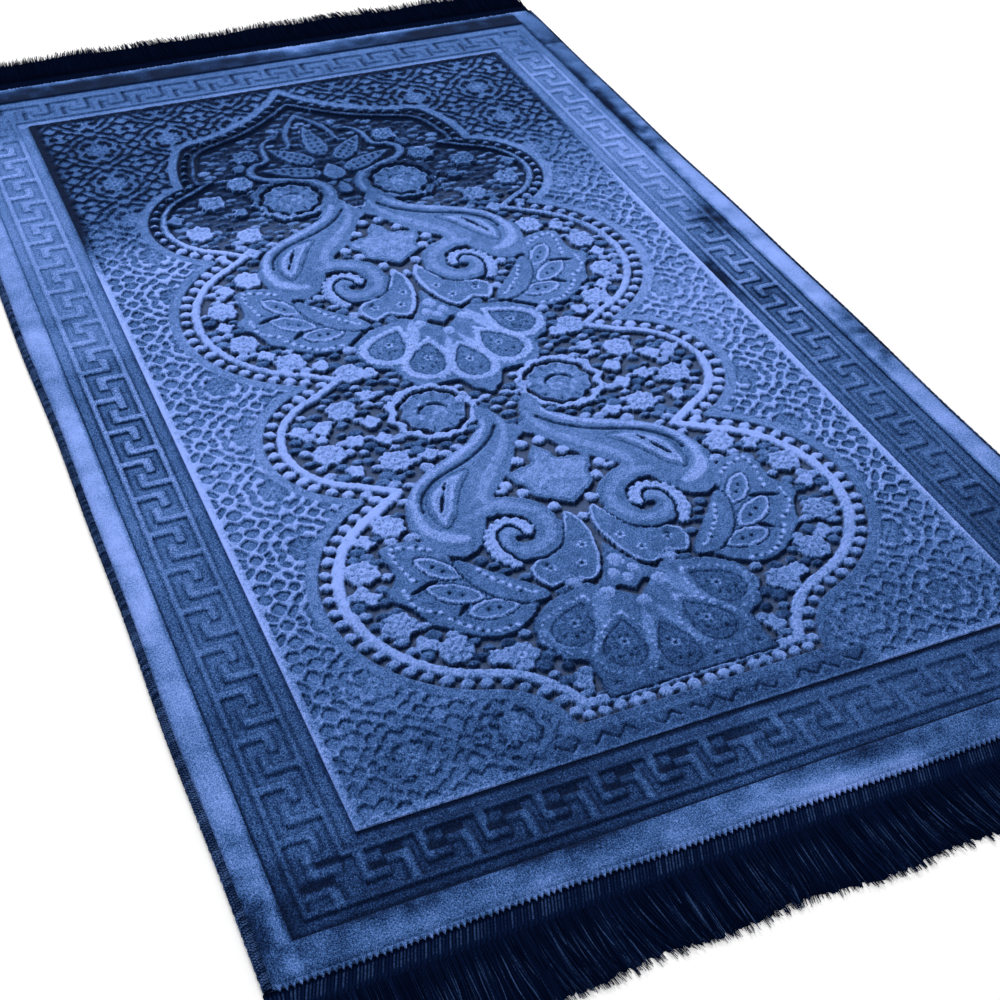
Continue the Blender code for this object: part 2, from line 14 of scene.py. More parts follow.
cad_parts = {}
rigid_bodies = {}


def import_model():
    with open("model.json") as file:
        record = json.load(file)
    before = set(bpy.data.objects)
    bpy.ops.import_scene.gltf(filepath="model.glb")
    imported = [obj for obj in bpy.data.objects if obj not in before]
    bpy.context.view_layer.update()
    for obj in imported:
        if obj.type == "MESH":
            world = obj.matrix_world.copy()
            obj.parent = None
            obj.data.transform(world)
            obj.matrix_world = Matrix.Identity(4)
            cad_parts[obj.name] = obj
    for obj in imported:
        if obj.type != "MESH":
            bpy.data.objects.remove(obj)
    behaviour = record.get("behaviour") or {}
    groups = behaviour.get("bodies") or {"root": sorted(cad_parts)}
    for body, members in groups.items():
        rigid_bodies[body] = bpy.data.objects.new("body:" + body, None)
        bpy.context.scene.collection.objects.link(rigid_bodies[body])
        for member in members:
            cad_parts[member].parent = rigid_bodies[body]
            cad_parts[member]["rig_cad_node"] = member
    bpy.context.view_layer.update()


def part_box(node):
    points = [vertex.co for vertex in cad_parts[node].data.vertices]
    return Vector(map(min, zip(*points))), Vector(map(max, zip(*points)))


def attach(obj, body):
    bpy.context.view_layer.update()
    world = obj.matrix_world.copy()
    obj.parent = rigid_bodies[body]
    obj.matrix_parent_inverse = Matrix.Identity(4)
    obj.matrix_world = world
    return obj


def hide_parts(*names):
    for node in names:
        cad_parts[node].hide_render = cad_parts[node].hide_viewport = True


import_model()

bl_info = {
    "name": "Carved velvet prayer rug",
    "version": (1, 0, 0),
    "blender": (4, 5, 0),
    "location": "View3D > Sidebar > Rug",
    "description": "Builds the pile, the backing, the wrapped edges and the fringes of a prayer rug",
    "category": "Object",
}

MM = 0.001

# The plan, in millimetres. X is across the rug. Y on the field is measured from the field's near edge.
FIELD_HALF = 263.0
FIELD_LENGTH = 977.0
INNER_GUARD = 11.0
LINE_WIDTH = 4.7
MEANDER_WIDTH = 30.3
OUTER_GUARD = 10.2
SIDE_MARGIN = 20.1
NEAR_MARGIN = 25.0
FAR_MARGIN = 33.0
OUTER_LINE = INNER_GUARD + LINE_WIDTH + MEANDER_WIDTH
BAND_WIDTH = INNER_GUARD + 2 * LINE_WIDTH + MEANDER_WIDTH + OUTER_GUARD
BODY_HALF = FIELD_HALF + BAND_WIDTH + SIDE_MARGIN
BODY_LENGTH = FIELD_LENGTH + 2 * BAND_WIDTH + NEAR_MARGIN + FAR_MARGIN
FIELD_NEAR = -BODY_LENGTH / 2 + NEAR_MARGIN + BAND_WIDTH
FIELD_MIDDLE = FIELD_NEAR + FIELD_LENGTH / 2
FIELD_FAR = FIELD_NEAR + FIELD_LENGTH

# Pile heights above the floor, in millimetres.
BACKING_TOP = 1.9
PILE_ROOT = 1.5
WEAVE_TOP = 2.2
GUARD_TOP = 4.2
LINE_TOP = 5.0
KEY_TOP = 4.9
MARGIN_TOP = 5.3
SHORT_TOP = 4.8
LONG_TOP = 5.6
CELL_TOP = 4.3
GROOVE_TOP = 3.3
FIELD_TOP = 5.8

# The field's pile is built in parts from near to far. Tones go from 0 to a little over the bright end.
FIELD_PARTS = 5
TONE_TOP = 1.1

# How wide the slope is at the edge of a carved form.
EDGE_SOFT = 1.1

# A small light tuft: how far it stands out, and its share of long pile.
SPECK_HEIGHT = 0.5
SPECK_LONG = 0.8

# Kinds of pile: height, share of long pile, change of tone.
KINDS = {
    "short": (SHORT_TOP + 0.3, 0.0, -0.04),
    "soft": (SHORT_TOP + 0.5, 0.10, 0.09),
    "light": (LONG_TOP, 0.45, 0.14),
    "long": (LONG_TOP, 0.72, 0.06),
    "rim": (LONG_TOP, 0.50, 0.18),
    "far_leaf": (LONG_TOP, 0.5, 0.10),
    "line": (SHORT_TOP - 0.4, 0.0, -0.20),
    "dark": (SHORT_TOP, 0.0, -0.09),
    "groove": (GROOVE_TOP, 0.0, -0.30),
    "cell": (CELL_TOP, 0.0, -0.10),
    "band": (SHORT_TOP, 0.0, 0.0),
}

# The medallion's ribbon, right half, from the base to the point.
RIBBON_ROWS = (
    # x, y, and how much the arc up to the next row bulges
    (100.0, 22.6, -0.33), (140.3, 74.1, 0.67), (153.4, 293.2, 0.72), (147.0, 447.0, 0.62),
    (161.0, 660.0, 0.66), (153.0, 803.0, 0.12), (140.0, 866.0, 0.35), (114.0, 888.0, -0.20),
    (0.0, 969.0, 0.00),
)
CUSP_ROWS = (2, 3, 4, 5)
RIBBON_HALF = 4.7
BEAD_INSET = 9.6
BEAD_PITCH = 13.4
BASE_BEAD_PITCH = 11.6
ROPE_INSET = 18.5
ROPE_HALF = 4.9
CUSP_REACH = 1.75
SHOULDER_Y = 822
EASE_REACH = 11
POINT_SLOPE = 0.72

# Ornament of one set, right half: x and y, and a half width where a row has three numbers.
ARM_EDGE = (
    (0, 326), (8, 320), (15, 309), (24, 293), (38, 277), (52, 265), (60, 252), (70, 238), (78, 222),
    (89, 209.5), (103, 205.5), (116, 213), (125, 230), (129, 253), (122, 276), (109, 295), (92, 308),
    (70, 320), (52, 329), (39, 339), (30, 351), (25, 371), (20, 373), (12, 362), (6, 346), (0, 338),
)
ARM_STEM = (
    (12, 350, 1.5), (14, 334, 3.0), (24, 314, 4.0), (40, 295, 4.6), (56, 277, 4.6), (64, 262, 3.6),
    (60, 254, 3.2), (50, 252, 3.2),
)
ARM_GROOVE = (
    (18, 343), (27, 331), (39, 320.5), (56, 310), (73, 303), (89, 296), (102, 285), (109, 275),
    (112, 263),
)
ARM_CREST = (
    (26, 352, 1.6), (29, 343, 2.2), (41, 330, 2.4), (60, 318, 2.4), (76, 310, 2.2), (92, 302, 2.0),
)
ARM_BAND = (
    (92, 302, 1.6), (108, 290, 2.0), (117, 272, 2.6), (119, 254, 3.4), (115, 238, 4.6), (104, 228, 5.0),
    (93, 224, 2.6),
)
ARM_TEAR = (
    (61, 298), (76, 298), (91, 291), (103, 279), (108, 262), (107, 248), (102, 240), (91, 250),
    (82, 267), (72, 284),
)
ARM_SLIT = ((84, 289, 0.4), (92, 274, 1.3), (99.5, 258, 0.7))
FEATHER = (
    (63, 148, 4.0), (73, 153, 11.0), (86, 163, 12.6), (98, 178, 11.4), (106, 192, 8.0), (109, 201, 5.0),
)
FEATHER_LINE = ((69, 152), (76, 157), (84, 165), (92, 176), (99, 190))
WING = (
    (111, 205), (114, 219), (122, 231), (133, 238), (148, 240), (160, 235), (159.5, 222), (159, 205),
    (163, 198), (170, 191), (168.5, 179), (161, 171), (155, 158), (153, 148), (143, 141), (132, 130),
    (116, 121.5), (95, 121.5), (79, 133), (70, 144), (86, 150), (98, 165), (107, 183),
)
WING_LINES = (
    ((124, 222), (135, 229), (150, 233), (152, 220), (150, 205), (146, 195)),
    ((158, 188), (156, 172), (149, 163), (141, 157)),
    ((138, 150), (129, 139), (118, 129), (105, 126), (95, 127)),
)
WING_CUTS = (
    ((131, 189.5, 0.6), (141, 186.5, 1.9), (153, 183, 0.9)),
    ((118, 159.5, 0.6), (124, 155, 2.1), (130, 150, 0.8)),
    ((112, 207, 1.6), (108, 198, 1.3), (110, 189, 0.6)),
)
EYES = ((139, 217, 114, 185, 9.0), (142, 184, 106, 160, 10.0), (123, 149.5, 86, 146.5, 10.0))
BELL = (
    (13, 226), (6.5, 221), (2.5, 203), (5, 183), (11.5, 163), (22, 149.5), (34, 152), (40.5, 157),
    (46, 154), (56, 151.5), (63, 163), (64, 174), (56.5, 182), (41, 188.5), (27, 200), (18, 216),
)
BELL_FLORETS = ((16, 186), (25, 168), (48.5, 171))
TULIP = (
    (0, 309), (8, 300), (11.5, 289), (24, 286), (35, 280), (33, 270), (27.5, 261), (27, 251), (20, 245),
    (12, 240), (0, 231),
)
TREFOIL = ((0, 187), (7, 168), (15, 153), (25, 142), (20, 133), (10, 137), (0, 128))
TREFOIL_LOBES = ((0, 163, 6.5), (8, 150, 5.0), (0, 143, 4.5))
CURL_CENTRE = (56.5, 216.0)
CURL = (
    # angle in degrees, radius of the middle of the band, half width
    (62, 37, 9.0), (90, 34, 10.6), (135, 31, 11.0), (180, 28, 10.4), (225, 25, 10.4), (270, 21.0, 10.4),
    (315, 16.0, 10.4), (360, 9.6, 8.8), (405, 5.6, 8.4), (450, 3.2, 7.0), (520, 5.0, 4.6),
)
COMMA = (
    (46.5, 215, 4.4), (48, 224, 5.0), (56.5, 230.5, 4.6), (66, 229, 4.2), (74, 222, 4.2),
    (78, 211, 5.2), (77.5, 200, 6.0), (73, 190, 5.0), (68, 184, 3.0),
)
PEARLS = (
    (7.7, 313), (19.5, 295), (40.5, 270.5), (32, 257.5), (16, 234.5), (-1, 217), (21, 134), (0, 117),
)
PEARL_RADIUS = 5.6
ROSETTE_RADIUS = 13.4
FIFTH_TURN = 1.257
DISC_CENTRE = (57, 379)
DISC_RADIUS = 27.0
DISC_RIM = 33.6
# The disc's slit: angle and half width.
DISC_SLIT = ((0.15, 0.3), (0.6, 0.8), (1.2, 1.1), (1.8, 1.1), (2.5, 0.8), (3.0, 0.3))
FAN_EDGE = (
    (0, 20), (2, 20), (13, 31), (20, 46), (33, 46), (55, 48), (64, 61), (65, 77), (79, 83), (90, 105),
    (85, 125), (66, 140), (31, 149), (0, 122),
)
FOOT_EDGE = ((0, 39.5), (66, 39.5), *FAN_EDGE[7:])
FOOT_MARKS = (22, 56, 69)
FAN = (
    # x, y, degrees, length, width
    (57.5, 112, 128, 44, 30), (33, 83, 112, 46, 30), (0, 69, 90, 46, 28),
)
FAN_LIGHTS = (
    ((24, 141, 2.0), (30, 126, 6.0), (38, 108, 5.0), (50, 96, 2.0)),
    ((5, 108, 1.5), (10, 92, 4.2), (16, 74, 3.6), (24, 62, 1.5)),
    ((80, 120, 1.0), (80.5, 108, 2.2), (75, 95, 2.6), (64, 91, 1.0)),
)
# Dark holes in a drop's heart, as shares of its length and its width.
HEART_HOLES = ((-0.26, 0.12), (-0.30, -0.14), (-0.12, 0.22), (0.12, -0.12), (0.16, 0.08))
HEART_BAND = 15
SET_PITCH = 366.0

# The crown over the far set.
CROWN_ARCH = ((24, 848, 2.0), (24, 862, 3.2), (19, 879, 3.6), (10, 895, 3.6), (0, 908, 3.2))
CROWN_DROPS = (
    # x, y, degrees, length, width
    (0, 850, 90, 64, 21), (31, 826, 50, 54, 21), (40, 795, 25, 60, 20),
)
CROWN_PEARLS = ((66, 860), (60, 876), (30, 880), (88, 838))
SHOULDER = (
    (36, 868, 2.2), (46, 864, 3.0), (53, 852, 3.6), (55, 838, 3.4), (58, 824, 3.4), (70, 820, 4.0),
    (79, 810, 4.4), (78, 799, 4.4), (68, 789, 4.4), (50, 782, 4.8), (33, 774, 5.4), (21, 763, 6.2),
    (17, 748, 6.4), (20, 730, 6.4), (31, 712, 6.0), (43, 695, 4.0),
)

# Small flowers and leaves between the set and the rope.
ROSETTES = (
    (105.2, 98.2), (144.6, 120.1), (173.1, 157.3), (178.6, 217.6), (142.5, 258.2), (109.6, 328.7),
    (155.6, 355.0), (127.1, 405.5), (103.0, 452.5), (144.6, 484.4), (173.1, 524.0), (176.0, 578.0),
    (140.0, 620.0), (114.8, 692.8), (157.8, 711.9), (131.5, 762.1), (95.6, 788.4), (74.1, 838.6),
)
TRI_LEAVES = (
    # x, y, degrees
    (168, 248, 200), (185, 189, 170), (163, 135, 250), (123, 105, 235), (77, 63, 250), (161, 503, 250),
    (123, 472, 200), (100, 417, 40), (169, 388, 90), (150, 386, 90), (129, 362, 60), (110, 381, 100),
    (107, 357, 90), (79, 328, 0), (145, 327, 150), (86, 446, 30), (166, 610, 200), (183, 553, 170),
    (122, 660, 90), (172, 740, 90), (110, 735, 60), (88, 815, 120),
)

# Pebbles: the room each needs in the first and in the second round, and the specks round a far one.
PEBBLE_SPACINGS = (11.2, 9.0)
PEBBLE_SPECKS = 6
SPECK_FLAT = 0.8

# How much closer than the far rows the near rows of the carving's grid are.
NEAR_CLOSENESS = 0.28

# The lattice round the medallion.
LATTICE_X = 245.5
LATTICE_Y = 5.6
LATTICE_WIDE = 73.5
LATTICE_LONG = 72.0
LATTICE_RIM = 5.5
CELL_DIAMONDS = (
    # x, y, half width, half length
    (6.5, 5.7, 6.1, 5.3), (0, 18.2, 6.1, 6.4), (0, 36, 5.0, 5.0), (17.3, 0, 4.7, 4.7),
    (LATTICE_WIDE / 2, 0, 6.2, 5.6),
)
CELL_LEAVES = (
    # x, y, half length, half width, degrees
    (8.8, 24.0, 5.8, 2.7, -52), (16.8, 12.6, 4.6, 2.5, -48), (26.0, 6.6, 4.6, 2.7, -38),
    (19.3, 24.5, 4.4, 2.3, -48), (26.2, 16.4, 3.6, 2.3, -45), (10.3, 33.2, 2.7, 2.5, -45),
)
ROSETTE_LEAVES = ((4.2, 20.6, 5.4, 3.0, 52), (17.6, 3.6, 4.2, 2.4, 60))

# The zigzag under the medallion's base.
ZIGZAG_Y = 10.5
ZIGZAG_HIGH = 8.0
ZIGZAG_PITCH = 17.0

# The Greek key.
LONG_PITCH = 43.66
SHORT_PITCH = 40.0
BAR_WIDTH = 7.1
BAR_REACH = 22.8
HOOK_SHARE = 0.35
INNER_BAR_SHARE = 0.68

# The cut edges wander: height, length, phase.
SIDE_WAVES = ((0.9, 610.0, 0.7), (0.5, 230.0, 2.1))
END_WAVES = ((0.7, 520.0, 1.3), (0.4, 190.0, 0.4))
SIDE_SHIFT = 110.0
RIGHT_OVERHANG = 2.2
END_SHIFT = 70.0

# The ends: the tape with its ribs and its chain stitch, the locks of strands, and the pinked teeth.
TAPE_WIDTH = 19.0
TAPE_RIB = 2.2
CHAIN_DEPTH = 15.6
CHAIN_LINK = 3.4
LOCK_WIDTH = 4.1
TOOTH_PITCH = 4.2
TOOTH_HALF = 2.05

# What differs between the near end (-1) and the far end (1), where the strands show their shaded side:
# painted light and shade on the tape, the teeth, the strands and the underlay, and how high the strands heap.
TAPE_LIGHT = {-1: 1.0, 1: 0.15}
TOOTH_LIGHT = {-1: 0.04, 1: 0.25}
STRAND_LIGHT = {-1: 1.0, 1: 0.12}
STRAND_HEAP = {-1: 1.9, 1: 4.4}
UNDERLAY_LIGHT = {-1: 0.30, 1: 0.05}

# The wraps on the left (-1) and the right (1): half width, height, and how far out from the cut edge they
# begin. On the right the margin's pile lies over the wraps, and less of them shows.
WRAP_SHAPE = {-1: (3.75, 4.0, -1.9), 1: (2.0, 2.9, 1.9)}

# Patches of painted sheen on the field's long and short pile, where the brushed pile catches the light or
# hides from it: x, y on the field, radius across, radius along, amount.
FIELD_SHEEN_PATCHES = (
    (200, 620, 30, 40, -0.20), (205, 505, 36, 40, -0.10), (-170, 640, 60, 60, 0.22),
    (120, 700, 60, 60, -0.20), (225, 735, 50, 60, 0.40), (-240, 900, 60, 60, -0.12),
    (-95, 885, 55, 50, -0.24), (100, 900, 50, 55, -0.16), (-230, 370, 40, 80, 0.10),
    (215, 455, 45, 75, 0.08), (-60, 760, 60, 60, 0.10), (-225, 150, 40, 50, -0.10),
    (-150, 30, 60, 40, -0.16), (-205, 55, 30, 28, -0.22), (-130, 55, 26, 26, -0.22),
)
SHORT_SHEEN_PATCHES = ((225, 425, 50, 105, 0.12), (-230, 385, 48, 110, 0.11))

# Patches of painted sheen and painted shade on the margins and the border, where the pile catches the light
# or hides from it: x, y from the rug's middle, radii, amount.
BORDER_SHEEN_PATCHES = (
    (65, 567, 34, 9, 0.36), (150, 575, 50, 18, 0.10), (-240, 552, 200, 9, -0.12),
    (-120, 545, 90, 16, -0.06), (270, 553, 90, 10, -0.12), (338, 495, 14, 30, -0.30),
    (240, 566, 50, 9, -0.14), (-335, -476, 12, 24, -0.14), (300, -72, 24, 26, 0.08),
    (338, -152, 10, 18, 0.12), (-300, -180, 34, 70, 0.07), (338, 330, 14, 40, -0.16),
    (338, 250, 14, 36, -0.50), (326, 290, 5, 140, -0.55), (338, -152, 12, 50, -0.42),
    (268, -15, 6, 42, -0.62), (303, 72, 12, 22, -0.42), (296, -64, 18, 24, -0.26),
    (318, 78, 6, 34, -0.50), (303, 190, 24, 70, 0.18), (300, 5, 26, 24, 0.08),
    (300, -312, 30, 60, 0.07), (-300, -305, 40, 70, 0.10), (-300, 100, 40, 60, 0.07),
    (-300, 0, 50, 40, -0.04), (110, -562, 60, 14, -0.14), (-250, -556, 70, 7, -0.20),
    (-140, -555, 40, 5, -0.14), (335, -150, 12, 50, -0.16), (-303, 122, 30, 12, -0.12),
    (-300, 40, 40, 12, -0.10), (-335, -310, 14, 60, -0.08), (-338, -552, 20, 40, -0.40),
    (0, -572, 70, 9, 0.10), (70, -575, 50, 8, 0.32), (-170, -576, 40, 6, 0.16),
    (-40, -577, 50, 5, 0.14), (240, -577, 60, 5, 0.16), (60, -556, 60, 10, -0.10),
    (-120, -562, 60, 12, -0.10), (-296, -490, 36, 60, 0.15),
)

# ---------------- number helpers


def rise(low, high, value):
    """0 below low, 1 above high, smooth between."""
    share = np.clip((value - low) / (high - low), 0.0, 1.0)
    return share * share * (3 - 2 * share)


def ridge(distance, width):
    """1 at no distance, and less to both sides over about one width."""
    return np.exp(-((distance / width) ** 2))


def patch(x, y, middle_x, middle_y, wide, tall):
    """1 in the middle of an oval place, and less towards its rim."""
    return np.exp(-(((x - middle_x) / wide) ** 2) - ((y - middle_y) / tall) ** 2)


def across_and_along(degrees):
    """The cosine and the sine of an angle."""
    angle = math.radians(degrees)
    return math.cos(angle), math.sin(angle)


def beside(x, y, reach, angle):
    """The place one reach away from x, y, towards the angle."""
    return x + reach * math.cos(angle), y + reach * math.sin(angle)


def far_share(x, y):
    """0 on the field's near part, where its pile leans to the light, and 1 on its far part."""
    return rise(640, 790, y + 0.10 * x)


def widened(rows, share=1.0, more=0.0):
    """The rows of a band with another half width."""
    return [(x, y, share * half + more) for x, y, half in rows]


def cloud(x, y, cell, seed):
    """Smooth seeded noise between -1 and 1, with lumps about one cell wide."""
    rows = int((y.max() - y.min()) / cell) + 4
    columns = int((x.max() - x.min()) / cell) + 4
    grid = np.random.default_rng(seed).uniform(-1, 1, (rows, columns))
    u = (x - x.min()) / cell
    v = (y - y.min()) / cell
    i = np.floor(v).astype(int)
    j = np.floor(u).astype(int)
    s = rise(0.0, 1.0, v - i)
    t = rise(0.0, 1.0, u - j)
    near = grid[i, j] * (1 - t) + grid[i, j + 1] * t
    far = grid[i + 1, j] * (1 - t) + grid[i + 1, j + 1] * t
    return near * (1 - s) + far * s


def blurred(values, reach):
    """A box blur over reach cells each way."""
    for axis in (0, 1):
        margins = [(reach + 1, reach) if k == axis else (0, 0) for k in (0, 1)]
        padded = np.pad(values, margins, mode="edge")
        sums = np.cumsum(padded, axis=axis)
        size = 2 * reach + 1
        high = np.take(sums, range(size, sums.shape[axis]), axis=axis)
        low = np.take(sums, range(0, sums.shape[axis] - size), axis=axis)
        values = (high - low) / size
    return values


def smooth_path(rows, step, closed=False):
    """Rows on a Catmull-Rom spline through the given ones, about one step apart."""
    rows = np.array(rows, float)
    count = len(rows)
    found = []
    for index in range(count if closed else count - 1):
        near = (index - 1) % count if closed else max(index - 1, 0)
        after = (index + 2) % count if closed else min(index + 2, count - 1)
        a, b, c, d = rows[near], rows[index], rows[(index + 1) % count], rows[after]
        parts = max(2, int(np.hypot(*(c - b)[:2]) / step) + 1)
        t = (np.arange(parts) / parts)[:, None]
        cubic = (2 * a - 5 * b + 4 * c - d) * t**2 + (3 * b - a - 3 * c + d) * t**3
        found.append(b + ((c - a) * t + cubic) / 2)
    if not closed:
        found.append(rows[-1:])
    return np.concatenate(found)


def path_distance(x, y, points, closed=False):
    """Distance from each place to a chain of segments."""
    best = np.full(x.shape, 1e9)
    ends = np.roll(points, -1, axis=0) if closed else points[1:]
    for (ax, ay), (bx, by) in zip(points[: len(ends)], ends):
        ux, uy = bx - ax, by - ay
        share = np.clip(((x - ax) * ux + (y - ay) * uy) / (ux * ux + uy * uy + 1e-9), 0, 1)
        best = np.minimum(best, (x - ax - share * ux) ** 2 + (y - ay - share * uy) ** 2)
    return np.sqrt(best)


def inside(x, y, ring):
    """Whether each place is inside a closed ring."""
    found = np.zeros(x.shape, bool)
    for (ax, ay), (bx, by) in zip(ring, np.roll(ring, -1, axis=0)):
        if ay != by:
            found ^= ((ay > y) != (by > y)) & (x < (bx - ax) * (y - ay) / (by - ay) + ax)
    return found


def ring_distance(x, y, ring):
    """Signed distance to a closed ring, negative inside."""
    return np.where(inside(x, y, ring), -1.0, 1.0) * path_distance(x, y, ring, closed=True)


def swept_distance(x, y, rows):
    """Signed distance to a band whose rows are x, y and half width."""
    best = np.full(x.shape, 1e9)
    for px, py, half in smooth_path(rows, 1.2):
        best = np.minimum(best, np.hypot(x - px, y - py) - half)
    return best


def arc_points(start, end, bulge, step):
    """Points from start up to, and not with, the end, on an arc that bulges to the right of the way."""
    start, end = np.array(start), np.array(end)
    chord = np.hypot(*(end - start))
    radius = chord * (1 + bulge * bulge) / (4 * abs(bulge))
    half_angle = math.asin(min(1.0, chord / (2 * radius)))
    side = math.copysign(1, bulge)
    right = np.array([end[1] - start[1], start[0] - end[0]]) / chord
    centre = (start + end) / 2 - side * radius * math.cos(half_angle) * right
    first = math.atan2(start[1] - centre[1], start[0] - centre[0])
    parts = max(2, round(2 * half_angle * radius / step))
    angles = first + 2 * half_angle * side * np.arange(parts) / parts
    return centre + radius * np.stack([np.cos(angles), np.sin(angles)], axis=1)


def ribbon_arcs():
    """The ribbon's centre line, right half: one array of points for each arc."""
    pairs = zip(RIBBON_ROWS, RIBBON_ROWS[1:])
    return [arc_points(a[:2], b[:2], a[2], 3.0) for a, b in pairs]


def inset_path(inset):
    """The ribbon's line moved inwards, right half, with a long point at each cusp."""
    arcs = ribbon_arcs()
    line = np.concatenate([*arcs, [RIBBON_ROWS[-1][:2]]])
    base = np.array([[0.0, RIBBON_ROWS[0][1]]])
    whole = np.concatenate([base, line])
    found = []
    for index, arc in enumerate(arcs):
        if index in CUSP_ROWS:
            x, y, _ = RIBBON_ROWS[index]
            found.append([[x - CUSP_REACH * inset, y]])
        after = arcs[index + 1][:1] if index + 1 < len(arcs) else np.array([RIBBON_ROWS[-1][:2]])
        along = np.diff(np.concatenate([arc, after]), axis=0)
        along /= np.hypot(*along.T)[:, None]
        moved = arc + inset * np.stack([-along[:, 1], along[:, 0]], axis=1)
        clear = path_distance(moved[:, 0], moved[:, 1], whole) > 0.97 * inset
        found.append(moved[clear & (moved[:, 0] > 0) & (moved[:, 1] > RIBBON_ROWS[0][1] + 0.97 * inset)])
    low = RIBBON_ROWS[0][1] + inset
    path = np.concatenate([f for f in found if len(f)])
    # Beyond the arch's shoulders the line is eased, so that it turns without a kink.
    window = np.ones(2 * EASE_REACH + 1)
    eased = [np.convolve(np.pad(path[:, k], EASE_REACH, "edge"), window, "valid") for k in (0, 1)]
    path = np.where(path[:, 1:] > SHOULDER_Y, np.stack(eased, axis=1) / len(window), path)
    foot = [[0.0, low], [path[0][0] - 1.0, low]]
    point = [[0.0, path[-1][1] + POINT_SLOPE * path[-1][0]]]
    return np.concatenate([foot, path, point])


def places_along(path, pitch):
    """Evenly spaced places on a path, about one pitch apart."""
    runs = np.hypot(*np.diff(path, axis=0).T)
    travelled = np.concatenate([[0.0], np.cumsum(runs)])
    count = max(1, round(travelled[-1] / pitch))
    wanted = (np.arange(count) + 0.5) * travelled[-1] / count
    return np.stack([np.interp(wanted, travelled, path[:, k]) for k in (0, 1)], axis=1)


# ---------------- the carved pile


class PileMap:
    """Height, share of long pile, change of tone and flat weave of the field's right half, on a grid."""

    def __init__(self, step):
        self.xs = np.linspace(0.0, FIELD_HALF, round(FIELD_HALF / (step * 0.93)) + 1)
        # The rows are closer at the near end, where the carving is looked at from close by.
        share = np.linspace(0.0, 1.0, round(FIELD_LENGTH / step) + 1)
        self.ys = FIELD_LENGTH * (share + NEAR_CLOSENESS * share * (share - 1))
        self.x, self.y = np.meshgrid(self.xs, self.ys)
        self.height = np.full(self.x.shape, FIELD_TOP)
        self.long = np.ones(self.x.shape)
        self.tone = np.zeros(self.x.shape)
        self.weave = np.zeros(self.x.shape)
        # Cut pile never ends on a clean line: every form's edge wanders by this much.
        self.fray = 0.75 * cloud(self.x, self.y, 2.9, 7) + 0.45 * cloud(self.x, self.y, 6.5, 8)
        self.far = far_share(self.x, self.y)

    def window(self, xs, ys, pad=4.0):
        """The part of the grid round some places."""
        j0, j1 = np.searchsorted(self.xs, (min(xs) - pad, max(xs) + pad))
        i0, i1 = np.searchsorted(self.ys, (min(ys) - pad, max(ys) + pad))
        return slice(i0, i1), slice(j0, j1)

    def cover(self, where, share, height, long, tone, weave=0.0):
        """Lays one kind of pile over what is there, as far as the share says."""
        layers = (self.height, self.long, self.tone, self.weave)
        for layer, value in zip(layers, (height, long, tone, weave)):
            layer[where] += share * (value - layer[where])

    def lay(self, where, distance, layers):
        """Lays nested kinds of pile: each starts that far inside the form's edge."""
        distance = distance + self.fray[where]
        for inset, kind in layers:
            self.cover(where, np.clip(0.5 - (distance + inset) / EDGE_SOFT, 0, 1), *KINDS[kind])

    def sweep(self, rows, layers, shift=0.0):
        """Lays pile along a band whose rows are x, y and half width."""
        rows = [(x, y + shift, half) for x, y, half in rows]
        widest = max(row[2] for row in rows)
        where = self.window([r[0] for r in rows], [r[1] for r in rows], widest + 4)
        self.lay(where, swept_distance(self.x[where], self.y[where], rows), layers)

    def fill(self, ring, layers, shift=0.0):
        """Lays pile inside a closed ring."""
        ring = np.array(ring, float) + (0.0, shift)
        where = self.window(ring[:, 0], ring[:, 1])
        self.lay(where, ring_distance(self.x[where], self.y[where], ring), layers)

    def dome(self, x, y, radius, top, long=1.0, tone=0.0, flat=1.0):
        """A rounded tuft. flat squeezes it along the rug."""
        where = self.window([x - radius, x + radius], [y - radius, y + radius], 2.0)
        away = np.hypot(self.x[where] - x, (self.y[where] - y) / flat) / radius
        away = away + 0.9 * self.fray[where] / radius
        share = np.clip((1.1 - away) * radius / 1.2, 0, 1)
        height = WEAVE_TOP + (top - WEAVE_TOP) * (1 - 0.42 * np.clip(away, 0, 1) ** 3)
        self.cover(where, share, height, long, tone)

    def groove(self, where, share, depth, dark):
        """A sunk dark line."""
        self.height[where] -= depth * share
        self.tone[where] -= dark * share

    def pit(self, x, y, radius, depth=1.5, tone=-0.3):
        """A small dark hole. It gives back where it is, and how much of it is there."""
        where = self.window([x], [y], radius + 2.0)
        share = np.exp(-(((self.x[where] - x) ** 2 + (self.y[where] - y) ** 2) / radius**2))
        self.groove(where, share, depth, -tone)
        return where, share

    def speck(self, x, y, radius, tone):
        """A small light tuft."""
        where, share = self.pit(x, y, radius, -SPECK_HEIGHT, tone)
        self.long[where] += share * (SPECK_LONG - self.long[where])


def drop_ring(x, y, degrees, length, width, count=40):
    """A drop with one round end and one pointed tip."""
    turn = 2 * np.pi * np.arange(count) / count
    along = length / 2 * np.cos(turn)
    aside = 0.65 * width * np.sin(turn) * np.sin(turn / 2)
    c, s = across_and_along(degrees)
    return np.stack([x + along * c - aside * s, y + along * s + aside * c], axis=1)


def half_ring(half):
    """A closed ring from its right half, top to foot."""
    return [*half, *[(-x, y) for x, y in half[::-1] if x > 0]]


